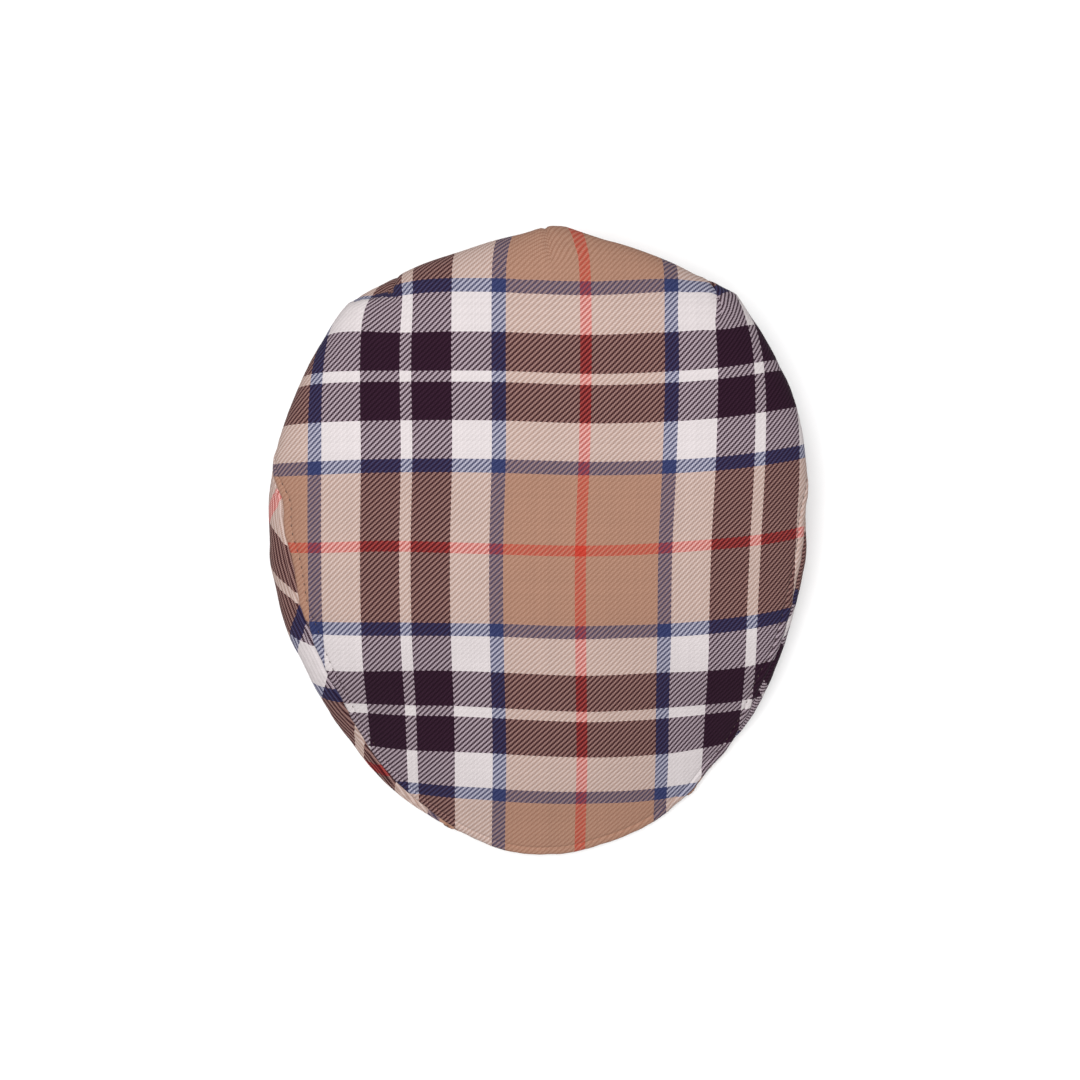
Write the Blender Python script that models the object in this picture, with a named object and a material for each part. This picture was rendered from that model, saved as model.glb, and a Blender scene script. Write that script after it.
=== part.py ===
"""A tartan flat cap: a one-piece crown top with three back darts, two side panels and a covered peak.

Metres, +Z up, standing on its rim at z = 0, with the peak pointing to -Y. Left and right are those of someone
who looks down on the cap with the peak towards them, so that left is -X. The crown is one surface, described
by spokes that run from its centre over the outline (q = 1) to the panels' lower edge (q = 2). The seam
between the top panel and the side panels is a line on that surface.
"""

import math
from bisect import bisect_left
from collections.abc import Callable
from functools import cache, partial
from itertools import accumulate
from typing import NamedTuple

import bmesh
import bpy
from mathutils import Vector

# Driving sizes: the head opening, how far the cap reaches past it, and the cloth

HEAD_LENGTH = 0.204
HEAD_WIDTH = 0.172
PEAK_REACH = 0.050
BACK_OVERHANG = 0.020
SIDE_OVERHANG = 0.0285
CROWN_HEIGHT = 0.085

CLOTH = 0.002
HEM = 0.003
SEAM_GAP = 0.0005

CAP_LENGTH = PEAK_REACH + HEAD_LENGTH + HEM + BACK_OVERHANG
CAP_WIDTH = HEAD_WIDTH + 2 * (HEM + SIDE_OVERHANG)

PEAK_THICKNESS = 0.0035
PEAK_RISE = 0.007
PEAK_SPAN = 134.0

# Where the side panels' lower edge leaves the peak's outline, lands on the rim and meets the floor, and where
# the outline's height no longer follows the peak's (degrees)

EDGE_LEAVES = 35.0
EDGE_LANDS = 72.0
EDGE_ON_FLOOR = 82.0
EDGE_FADES = 110.0
PANEL_TIP_LEFT = 10.0
PANEL_TIP_RIGHT = 20.0

# How far the side panels hang straight down from the outline and stand straight up from the rim (shares of
# the height between the two)

BULGE_DROP = 0.72
RIM_STAND = 0.55

# The swell from which the top turns over vertically at the outline: with less, it meets it at a slope

FULL_TURN_SWELL = 0.30

# Where the hem's doubling starts and where it is full (q)

HEM_START = 1.5
HEM_FULL = 1.9

# Mesh density

TOP_COLUMNS = 34
TOP_ROWS = 38
SIDE_COLUMNS = 38
SIDE_ROWS = 8
PEAK_COLUMNS = 44
PEAK_ROWS = 5
SPOKE_SAMPLES = 30

# How far apart the points are that a surface's direction is taken from, so that cloth turns a corner smoothly

DOWN_STEP = 0.004
ROUND_STEP = 0.7


class Spoke(NamedTuple):
    """One direction round the crown, the same number of degrees from the front on both sides.

    reach is the outline's distance from the centre, as a share of a plain oval of the cap's length and width.
    swell is the height of the outline above the lower edge, as a share of the crown's height.
    roll says how late the top turns down towards the outline: 2 is round, 6 is flat with a tight edge.
    seam is the place of the top panel's seam, in q.
    """

    angle: float
    reach_left: float
    reach_right: float
    swell: float
    roll_left: float
    roll_right: float
    seam_left: float
    seam_right: float


SPOKES = (
    Spoke(0, 0.998, 0.998, 0.00, 2.5, 2.5, 1.00, 1.00),
    Spoke(15, 0.977, 0.995, 0.00, 2.5, 2.5, 0.985, 1.00),
    Spoke(30, 0.972, 0.992, 0.01, 2.6, 2.5, 0.965, 0.985),
    Spoke(45, 0.960, 0.979, 0.10, 3.2, 2.6, 0.93, 0.96),
    Spoke(60, 0.959, 0.978, 0.30, 4.0, 2.8, 0.89, 0.94),
    Spoke(75, 0.980, 0.979, 0.42, 4.8, 3.0, 0.85, 0.95),
    Spoke(90, 1.000, 0.997, 0.53, 5.4, 3.0, 0.87, 0.96),
    Spoke(105, 1.003, 1.011, 0.66, 5.4, 3.2, 0.99, 1.04),
    Spoke(120, 1.003, 1.042, 0.73, 5.2, 3.8, 1.14, 1.16),
    Spoke(135, 1.014, 1.050, 0.75, 5.0, 4.4, 1.24, 1.24),
    Spoke(150, 0.993, 1.026, 0.76, 5.0, 5.0, 1.28, 1.28),
    Spoke(165, 0.964, 0.994, 0.77, 5.0, 5.0, 1.30, 1.30),
    Spoke(180, 0.986, 0.986, 0.78, 5.0, 5.0, 1.30, 1.30),
)
SPOKE_STEP = SPOKES[1].angle - SPOKES[0].angle


class Station(NamedTuple):
    """A point of the ridge line from front to back.

    at is the distance from the centre as a share of half the cap's length, with the front negative.
    height is a share of the way from the front edge up to the crown's height.
    """

    at: float
    height: float


RIDGE = (
    Station(-1.00, 0.000),
    Station(-0.75, 0.226),
    Station(-0.50, 0.405),
    Station(-0.25, 0.585),
    Station(0.00, 0.728),
    Station(0.25, 0.870),
    Station(0.50, 0.965),
    Station(0.75, 1.000),
    Station(1.00, 0.975),
)
RIDGE_STEP = RIDGE[1].at - RIDGE[0].at


class Dart(NamedTuple):
    """A sewn dart: a groove along a spoke, from the point start (in q) down to the seam.

    angle counts in degrees from the front, with the left negative; width and depth are shares of the crown's
    height.
    """

    angle: float
    start: float
    width: float
    depth: float


DARTS = (
    Dart(-153.0, 0.84, 0.050, 0.014),
    Dart(179.5, 0.84, 0.050, 0.014),
    Dart(146.5, 0.84, 0.050, 0.014),
)

# Where the darts' grooves have died out below the outline (q)

DART_END = 1.26


class Corner(NamedTuple):
    """A corner that a dart's fullness pushes out of the outline.

    rise is a share of the plain oval's reach there, and spread is the corner's half angle.
    """

    angle: float
    rise: float
    spread: float


CORNERS = (
    Corner(-143.0, 0.026, 9.0),
    Corner(175.5, 0.020, 8.0),
    Corner(142.5, 0.030, 8.0),
)

# How far a corner reaches up and down the crown, where its ridge fades out below, and how sharp its tip is

CORNER_DEPTH = 0.28
CORNER_END = 2.0
CORNER_FULL = 1.6
CORNER_TIP = 1.3


class Finish(NamedTuple):
    """A plain material: colour, roughness and metallic value."""

    colour: tuple[float, float, float]
    roughness: float
    metallic: float


TARTAN = Finish((0.44, 0.24, 0.17), 0.9, 0.0)


# Small maths

def smoothstep(low: float, high: float, value: float) -> float:
    """Rises smoothly from 0 at low to 1 at high."""
    share = min(max((value - low) / (high - low), 0.0), 1.0)
    return share * share * (3.0 - 2.0 * share)


def spline(before: float, start: float, end: float, after: float, share: float) -> float:
    """Runs a Catmull-Rom curve from start to end, shaped by its two neighbours."""
    turn = 2.0 * before - 5.0 * start + 4.0 * end - after
    bend = 3.0 * start - 3.0 * end + after - before
    return start + 0.5 * share * (end - before + share * (turn + share * bend))


def folded(angle: float) -> float:
    """Brings an angle in degrees into the range from -180 to 180."""
    return (angle + 180.0) % 360.0 - 180.0


def around(left: str, right: str, angle: float) -> float:
    """Reads a pair of spoke columns at any angle, smoothly round the whole crown."""
    rows = len(SPOKES) - 1
    place = angle / SPOKE_STEP
    index = math.floor(place)
    values = []
    for step in range(index - 1, index + 3):
        signed = (step + rows) % (2 * rows) - rows
        values.append(getattr(SPOKES[abs(signed)], left if signed < 0 else right))
    return spline(*values, place - index)


def bearing(angle: float) -> Vector:
    """Gives the plan direction of a spoke."""
    turn = math.radians(angle)
    return Vector((math.sin(turn), -math.cos(turn), 0.0))


# The outline, the rim and the peak

def oval_reach(angle: float) -> float:
    """Gives the distance from the centre to a plain oval of the cap's length and width."""
    way = bearing(angle)
    return 1.0 / math.hypot(way.x / (CAP_WIDTH / 2), way.y / (CAP_LENGTH / 2))


def outline_reach(angle: float) -> float:
    """Gives the distance from the centre to the outline, without its corners."""
    return around("reach_left", "reach_right", angle) * oval_reach(angle)


def corner_reach(angle: float) -> float:
    """Gives what the corners add to the outline."""
    rise = 0.0
    for corner in CORNERS:
        away = abs(folded(angle - corner.angle)) / corner.spread
        rise += corner.rise * max(0.0, 1.0 - away) ** CORNER_TIP
    return rise * oval_reach(angle)


def opening_reach(angle: float, wall: float) -> float:
    """Gives the distance from the centre to the head opening, with a wall of a given thickness round it."""
    way = bearing(angle)
    width = HEAD_WIDTH / 2 + wall
    length = HEAD_LENGTH / 2 + wall
    middle = CAP_LENGTH / 2 - BACK_OVERHANG - HEM - HEAD_LENGTH / 2
    square = (way.x / width) ** 2 + (way.y / length) ** 2
    half = -way.y * middle / length ** 2
    rest = (middle / length) ** 2 - 1.0
    return (-half + math.sqrt(half * half - square * rest)) / square


def peak_underside(angle: float) -> float:
    """Gives the height of the peak's underside: arched in front, down on the floor at its two ends."""
    share = min(abs(folded(angle)) / (PEAK_SPAN / 2), 1.0)
    return PEAK_RISE * 0.5 * (1.0 + math.cos(math.pi * share))


def edge_reach(angle: float) -> float:
    """Gives the distance from the centre to the crown's lower edge: the peak's outline, then the rim."""
    tucked = smoothstep(EDGE_LEAVES, EDGE_LANDS, abs(folded(angle)))
    reach = outline_reach(angle)
    return reach + tucked * (opening_reach(angle, HEM) - reach)


def edge_height(angle: float) -> float:
    """Gives the height of the crown's lower edge: just clear of the peak, then on the floor."""
    off_peak = PEAK_SPAN / 2 + (EDGE_ON_FLOOR - PEAK_SPAN / 2) / 3
    on_peak = 1.0 - smoothstep(off_peak, EDGE_ON_FLOOR, abs(folded(angle)))
    return on_peak * (peak_underside(angle) + PEAK_THICKNESS + SEAM_GAP)


# The crown's surface

def outline_height(angle: float) -> float:
    """Gives the height of the outline, where the crown is widest."""
    on_peak = 1.0 - smoothstep(EDGE_LEAVES, EDGE_FADES, abs(folded(angle)))
    peak_top = peak_underside(angle) + PEAK_THICKNESS + SEAM_GAP
    return on_peak * peak_top + CLOTH + around("swell", "swell", angle) * CROWN_HEIGHT


def ridge_height(along: float) -> float:
    """Gives the height of the stretched top at a distance along the cap."""
    front = outline_height(0.0)
    place = (min(max(along / (CAP_LENGTH / 2), -1.0), 1.0) + 1.0) / RIDGE_STEP
    index = min(int(place), len(RIDGE) - 2)
    heights = [station.height for station in RIDGE]
    heights = [2 * heights[0] - heights[1], *heights, 2 * heights[-1] - heights[-2]]
    return front + (CROWN_HEIGHT - front) * spline(*heights[index:index + 4], place - index)


class Profile(NamedTuple):
    """A drawn line: its points, and how far along it each of them lies."""

    points: list[Vector]
    marks: list[float]

    def walk(self, share: float) -> Vector:
        """Finds the point at a share of the line's length."""
        goal = share * self.marks[-1]
        index = min(max(bisect_left(self.marks, goal), 1), len(self.marks) - 1)
        step = self.marks[index] - self.marks[index - 1]
        if step <= 0.0:
            return self.points[index].copy()
        return self.points[index - 1].lerp(self.points[index], (goal - self.marks[index - 1]) / step)


def measured(points: list[Vector]) -> Profile:
    """Adds the marks to a drawn line."""
    steps = [(end - start).length for start, end in zip(points, points[1:])]
    return Profile(points, list(accumulate(steps, initial=0.0)))


@cache
def upper_profile(angle: float) -> Profile:
    """Draws a spoke from the crown's centre to the outline."""
    reach = outline_reach(angle)
    way = bearing(angle)
    drop = ridge_height(way.y * reach) - outline_height(angle)
    roll = around("roll_left", "roll_right", angle)
    turned = around("swell", "swell", angle) / FULL_TURN_SWELL
    power = 2.0 - min(max(turned, 0.0), 1.0)
    points = []
    for step in range(SPOKE_SAMPLES + 1):
        turn = math.pi / 2 * step / SPOKE_SAMPLES
        out = reach * math.sin(turn) ** (2.0 / roll)
        fallen = drop * (1.0 - max(math.cos(turn), 0.0) ** power)
        points.append(way * out + Vector((0.0, 0.0, ridge_height(way.y * out) - fallen)))
    return measured(points)


@cache
def lower_profile(angle: float) -> Profile:
    """Draws a spoke from the outline to the crown's lower edge: out over the bulge, then in and down."""
    way = bearing(angle)
    top = outline_height(angle)
    foot = edge_height(angle)
    out = way * outline_reach(angle)
    tucked = way * edge_reach(angle)
    knots = (
        out + Vector((0.0, 0.0, top)),
        out + Vector((0.0, 0.0, top - BULGE_DROP * (top - foot))),
        tucked + Vector((0.0, 0.0, foot + RIM_STAND * (top - foot))),
        tucked + Vector((0.0, 0.0, foot)),
    )
    points = []
    for step in range(SPOKE_SAMPLES + 1):
        share = step / SPOKE_SAMPLES
        rest = 1.0 - share
        points.append(
            knots[0] * rest ** 3
            + knots[1] * 3.0 * rest ** 2 * share
            + knots[2] * 3.0 * rest * share ** 2
            + knots[3] * share ** 3
        )
    return measured(points)


def crown_point(angle: float, q: float) -> Vector:
    """Finds a point of the crown's outer surface, with the outline's corners and the darts' grooves."""
    point = upper_profile(angle).walk(q) if q <= 1.0 else lower_profile(angle).walk(q - 1.0)
    way = bearing(angle)
    near_outline = math.exp(-(((q - 1.0) / CORNER_DEPTH) ** 2)) * smoothstep(CORNER_END, CORNER_FULL, q)
    point += way * (corner_reach(angle) * near_outline)
    for dart in DARTS:
        away = math.radians(folded(angle - dart.angle)) * outline_reach(angle) / (dart.width * CROWN_HEIGHT)
        sunk = dart.depth * CROWN_HEIGHT * math.exp(-away * away)
        sunk *= smoothstep(dart.start, 1.0, q) * smoothstep(DART_END, 1.0, q)
        slope = min(max((q - dart.start) / (1.0 - dart.start), 0.0), 1.0) * math.pi / 2
        point -= (way * math.sin(slope) + Vector((0.0, 0.0, math.cos(slope)))) * sunk
    return point


def distance_down(angle: float, q: float) -> float:
    """Gives the length of the crown's surface from its centre down to q."""
    upper = upper_profile(angle).marks[-1]
    return q * upper if q <= 1.0 else upper + (q - 1.0) * lower_profile(angle).marks[-1]


def place_down(angle: float, distance: float) -> float:
    """Gives the q that lies a distance down from the crown's centre."""
    upper = upper_profile(angle).marks[-1]
    if distance <= upper:
        return max(distance / upper, 0.0)
    return min(1.0 + (distance - upper) / lower_profile(angle).marks[-1], 2.0)


def crown_normal(angle: float, q: float) -> Vector:
    """Finds the outward direction of the crown's surface."""
    distance = max(distance_down(angle, q), DOWN_STEP)
    below = crown_point(angle, place_down(angle, distance + DOWN_STEP))
    above = crown_point(angle, place_down(angle, distance - DOWN_STEP))
    q = max(q, place_down(angle, DOWN_STEP))
    across = crown_point(angle + ROUND_STEP, q) - crown_point(angle - ROUND_STEP, q)
    return (below - above).cross(across).normalized()


def cloth_faces(angle: float, q: float) -> tuple[Vector, Vector]:
    """Gives the outer and inner point of the cloth: plain over the crown, doubled at the hem."""
    outer = crown_point(angle, q)
    normal = crown_normal(angle, q)
    inner = outer - normal * (CLOTH + (HEM - CLOTH) * smoothstep(HEM_START, HEM_FULL, q))
    if q >= 2.0:
        inner.z = outer.z
    return outer, inner


def seam_distance(angle: float) -> float:
    """Gives the distance down the crown to the top panel's seam."""
    return distance_down(angle, around("seam_left", "seam_right", angle))


# The pieces

def top_panel_place(across: float, along: float) -> tuple[Vector, Vector]:
    """Lays a square sheet on the crown inside the seam, by way of a disc."""
    x = across * math.sqrt(1.0 - along * along / 2.0)
    y = along * math.sqrt(1.0 - across * across / 2.0)
    angle = math.degrees(math.atan2(x, -y))
    seam = seam_distance(angle) - SEAM_GAP / 2
    return cloth_faces(angle, place_down(angle, math.hypot(x, y) * seam))


def side_panel_place(side: int, tip: float, across: float, along: float) -> tuple[Vector, Vector]:
    """Lays a sheet on the crown between the seam and the lower edge, from its tip to the back seam."""
    back = 180.0 - math.degrees(SEAM_GAP / 2 / outline_reach(180.0))
    angle = side * (tip + (back - tip) * (across + 1.0) / 2.0)
    seam = seam_distance(angle) + SEAM_GAP / 2
    edge = distance_down(angle, 2.0)
    share = (1.0 - along) / 2.0
    return cloth_faces(angle, 2.0 if share >= 1.0 else place_down(angle, seam + (edge - seam) * share))


def peak_place(across: float, along: float) -> tuple[Vector, Vector]:
    """Lays a sheet on the peak, from the head opening out to the crown's lower edge."""
    angle = across * PEAK_SPAN / 2
    inner = opening_reach(angle, 0.0)
    reach = inner + (edge_reach(angle) - inner) * (1.0 - along) / 2.0
    under = bearing(angle) * reach + Vector((0.0, 0.0, peak_underside(angle)))
    return under + Vector((0.0, 0.0, PEAK_THICKNESS)), under


def plain_material(name: str, finish: Finish) -> bpy.types.Material:
    """Makes a plain material from a finish."""
    material = bpy.data.materials.new(name)
    material.use_nodes = True
    shader = material.node_tree.nodes["Principled BSDF"]
    shader.inputs["Base Color"].default_value = (*finish.colour, 1.0)
    shader.inputs["Roughness"].default_value = finish.roughness
    shader.inputs["Metallic"].default_value = finish.metallic
    return material


def shell(
    name: str, columns: int, rows: int, place: Callable[[float, float], tuple[Vector, Vector]],
    home: bpy.types.Collection,
) -> bpy.types.Object:
    """Makes a closed sheet of cloth: a flat grid, given thickness, whose two faces are laid in place."""
    sheet = bmesh.new()
    bmesh.ops.create_grid(sheet, x_segments=columns, y_segments=rows, size=1.0)
    outer = sheet.verts[:]
    walls = bmesh.ops.extrude_face_region(sheet, geom=sheet.faces[:], use_keep_orig=True)
    inner = [item for item in walls["geom"] if isinstance(item, bmesh.types.BMVert)]
    for layer, corners in enumerate((outer, inner)):
        for corner in corners:
            corner.co = place(corner.co.x, corner.co.y)[layer]
    bmesh.ops.recalc_face_normals(sheet, faces=sheet.faces[:])
    if sheet.calc_volume(signed=True) < 0.0:
        bmesh.ops.reverse_faces(sheet, faces=sheet.faces[:])
    mesh = bpy.data.meshes.new(name)
    sheet.to_mesh(mesh)
    sheet.free()
    mesh.shade_smooth()
    mesh.set_sharp_from_angle(angle=math.radians(40.0))
    mesh.materials.append(plain_material(name, TARTAN))
    piece = bpy.data.objects.new(name, mesh)
    home.objects.link(piece)
    return piece


def main() -> None:
    """Builds the cap."""
    for leftover in list(bpy.data.objects):
        bpy.data.objects.remove(leftover, do_unlink=True)
    home = bpy.data.collections.new("flat_cap")
    bpy.context.scene.collection.children.link(home)

    shell("top_panel", TOP_COLUMNS, TOP_ROWS, top_panel_place, home)
    shell("side_panel_left", SIDE_COLUMNS, SIDE_ROWS, partial(side_panel_place, -1, PANEL_TIP_LEFT), home)
    shell("side_panel_right", SIDE_COLUMNS, SIDE_ROWS, partial(side_panel_place, 1, PANEL_TIP_RIGHT), home)
    shell("peak", PEAK_COLUMNS, PEAK_ROWS, peak_place, home)


main()
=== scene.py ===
"""The looks of a tartan flat cap: woven panels with sewn darts, rolled seams, stitching and a covered peak.

Metres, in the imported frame: +Z up, the rim on z = 0, the peak towards -Y. Left and right are those of
someone who looks down on the cap with the peak towards them, so that left is -X. Angles are in degrees from
the front. A place q down the crown is 0 at its centre, 1 at the outline and 2 at the lower edge.
"""

import logging
import math
from collections.abc import Callable, Mapping, Sequence
from dataclasses import dataclass, field
from enum import Enum
from typing import NamedTuple

import bpy
import numpy as np
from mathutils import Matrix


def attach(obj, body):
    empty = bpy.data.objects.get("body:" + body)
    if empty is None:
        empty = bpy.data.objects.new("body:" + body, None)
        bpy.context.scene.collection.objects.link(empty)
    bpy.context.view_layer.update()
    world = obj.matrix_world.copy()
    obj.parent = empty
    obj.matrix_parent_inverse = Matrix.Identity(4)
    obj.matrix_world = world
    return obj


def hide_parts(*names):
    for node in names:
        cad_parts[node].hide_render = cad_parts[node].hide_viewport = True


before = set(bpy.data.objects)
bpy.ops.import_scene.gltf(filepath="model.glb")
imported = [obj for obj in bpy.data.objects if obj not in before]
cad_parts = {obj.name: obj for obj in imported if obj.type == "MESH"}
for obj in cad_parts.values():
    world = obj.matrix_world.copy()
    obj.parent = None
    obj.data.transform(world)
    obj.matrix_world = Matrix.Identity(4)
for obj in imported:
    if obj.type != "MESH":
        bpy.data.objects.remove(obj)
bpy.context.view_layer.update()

LOG = logging.getLogger("cap")
# The turns at which a flat sheet is measured for the smallest rectangle round it, in degrees
CUT_TURNS = range(0, 90, 3)

Colour = tuple[float, float, float]
Array = np.ndarray


# Small maths

def smoothstep(low: float, high: float, value: Array | float) -> Array | float:
    """Rises smoothly from 0 at low to 1 at high."""
    share = np.clip((value - low) / (high - low), 0.0, 1.0)
    return share * share * (3.0 - 2.0 * share)


def bell(away: Array, width: float) -> Array:
    """Falls smoothly from 1, where away is 0, to nearly 0 two widths off."""
    return np.exp(-((away / width) ** 2))


def spline_weights(share: Array) -> tuple[Array, ...]:
    """Gives the weights of the four values round a place on a smooth curve through values."""
    square, cube = share ** 2, share ** 3
    return (
        square - 0.5 * share - 0.5 * cube, 1.0 - 2.5 * square + 1.5 * cube,
        0.5 * share + 2.0 * square - 1.5 * cube, 0.5 * cube - 0.5 * square,
    )


def spline(values: Array, place: Array) -> Array:
    """Runs a smooth curve through values, of which the first and the last are spare.

    Args:
        values: The values.
        place: Where to read the curve, counted in steps from the second value.

    Returns:
        The curve's value at each place.
    """
    index = np.clip(np.floor(place).astype(int), 0, len(values) - 4)
    return sum(weight * values[index + step] for step, weight in enumerate(spline_weights(place - index)))


def folded(angle: Array | float) -> Array | float:
    """Brings angles in degrees into the range from -180 to 180."""
    return (angle + 180.0) % 360.0 - 180.0


def unit(vectors: Array) -> Array:
    """Scales vectors to a length of one."""
    return vectors / np.maximum(np.linalg.norm(vectors, axis=-1, keepdims=True), 1e-12)


def bearing(angle: Array) -> Array:
    """Gives the plan direction of spokes."""
    turn = np.radians(angle)
    return np.stack([np.sin(turn), -np.cos(turn), np.zeros_like(turn)], axis=-1)


def turned(places: Array, degrees: float) -> Array:
    """Turns flat places about the origin."""
    cos, sin = math.cos(math.radians(degrees)), math.sin(math.radians(degrees))
    return places @ np.array([[cos, sin], [-sin, cos]])


def sides(corners: Array) -> Array:
    """Gives the lengths of faces' sides."""
    return np.linalg.norm(corners - np.roll(corners, 1, axis=1), axis=2)


def quads(grid: Array) -> Array:
    """Gives the corners of a grid's faces, one row a face."""
    return np.stack([grid[:-1, :-1], grid[:-1, 1:], grid[1:, 1:], grid[1:, :-1]], axis=-1).reshape(-1, 4)


def border(grid: Array) -> Array:
    """Gives the loop of a grid's outermost numbers."""
    return np.concatenate([grid[::-1, 0], grid[0, 1:], grid[1:, -1], grid[-1, -2:0:-1]])


class Wave(NamedTuple):
    """A sine wave: its length and height in metres, and its phase in radians."""

    length: float
    height: float
    phase: float


def ripple(place: Array, waves: Sequence[Wave]) -> Array:
    """Adds up waves at places in metres."""
    return sum(wave.height * np.sin(2.0 * math.pi * place / wave.length + wave.phase) for wave in waves)


def placed(name: str, data: bpy.types.ID) -> bpy.types.Object:
    """Puts a new object in the scene.

    Args:
        name: Its name.
        data: Its mesh, light or camera.

    Returns:
        The object.
    """
    made = bpy.data.objects.new(name, data)
    bpy.context.scene.collection.objects.link(made)
    return made


def meshed(name: str, points: Sequence[Sequence[float]], faces: Sequence[Sequence[int]]) -> bpy.types.Object:
    """Puts a new mesh in the scene.

    Args:
        name: Its name.
        points: Its points.
        faces: The numbers of its faces' corners.

    Returns:
        The object.
    """
    mesh = bpy.data.meshes.new(name)
    mesh.from_pydata(points, [], faces)
    return placed(name, mesh)


# Shader maths

def operator(operation: str, reflected: bool = False) -> Callable[["Wire", "Wire | float"], "Wire"]:
    """Makes an operator that adds a Math node.

    Args:
        operation: The node's operation.
        reflected: Whether the wire itself stands second.

    Returns:
        The operator, a method of a wire.
    """
    def joined(self: "Wire", other: "Wire | float") -> "Wire":
        """Joins the wire and another value."""
        return self.math(operation, other, self) if reflected else self.math(operation, self, other)

    return joined


class Wire:
    """An output of a node, which can take part in sums."""

    def __init__(self, shader: "Shader", node: bpy.types.Node, output: int | str = 0) -> None:
        """Keeps the shader, its node and the output's name or place."""
        self.shader, self.node, self.name = shader, node, output

    def output(self, name: int | str) -> "Wire":
        """Gives another output of the same node."""
        return Wire(self.shader, self.node, name)

    def math(self, operation: str, *terms: "Wire | float") -> "Wire":
        """Adds a Math node for terms in order."""
        return self.shader.node("ShaderNodeMath", {"operation": operation}, dict(enumerate(terms)))

    __add__ = operator("ADD")
    __radd__ = operator("ADD", reflected=True)
    __sub__ = operator("SUBTRACT")
    __rsub__ = operator("SUBTRACT", reflected=True)
    __mul__ = operator("MULTIPLY")
    __rmul__ = operator("MULTIPLY", reflected=True)
    __truediv__ = operator("DIVIDE")
    __rtruediv__ = operator("DIVIDE", reflected=True)
    __pow__ = operator("POWER")
    __rpow__ = operator("POWER", reflected=True)
    __mod__ = operator("FLOORED_MODULO")
    __rmod__ = operator("FLOORED_MODULO", reflected=True)
    __lt__ = operator("LESS_THAN")
    __gt__ = operator("LESS_THAN", reflected=True)
    least = operator("MINIMUM")

    def floor(self) -> "Wire":
        """Rounds down."""
        return self.math("FLOOR", self)

    def pingpong(self, length: float) -> "Wire":
        """Runs up to a length and back down."""
        return self.math("PINGPONG", self, length)

    def blend(self, low: "Wire | float", high: "Wire | float") -> "Wire":
        """Goes from low, where this is 0, to high, where it is 1."""
        return low + (high - low) * self

    def about(self, middle: float, spread: float) -> "Wire":
        """Turns values from 0 to 1 into a spread of values about a middle one."""
        return self * spread + (middle - 0.5 * spread)


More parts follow.
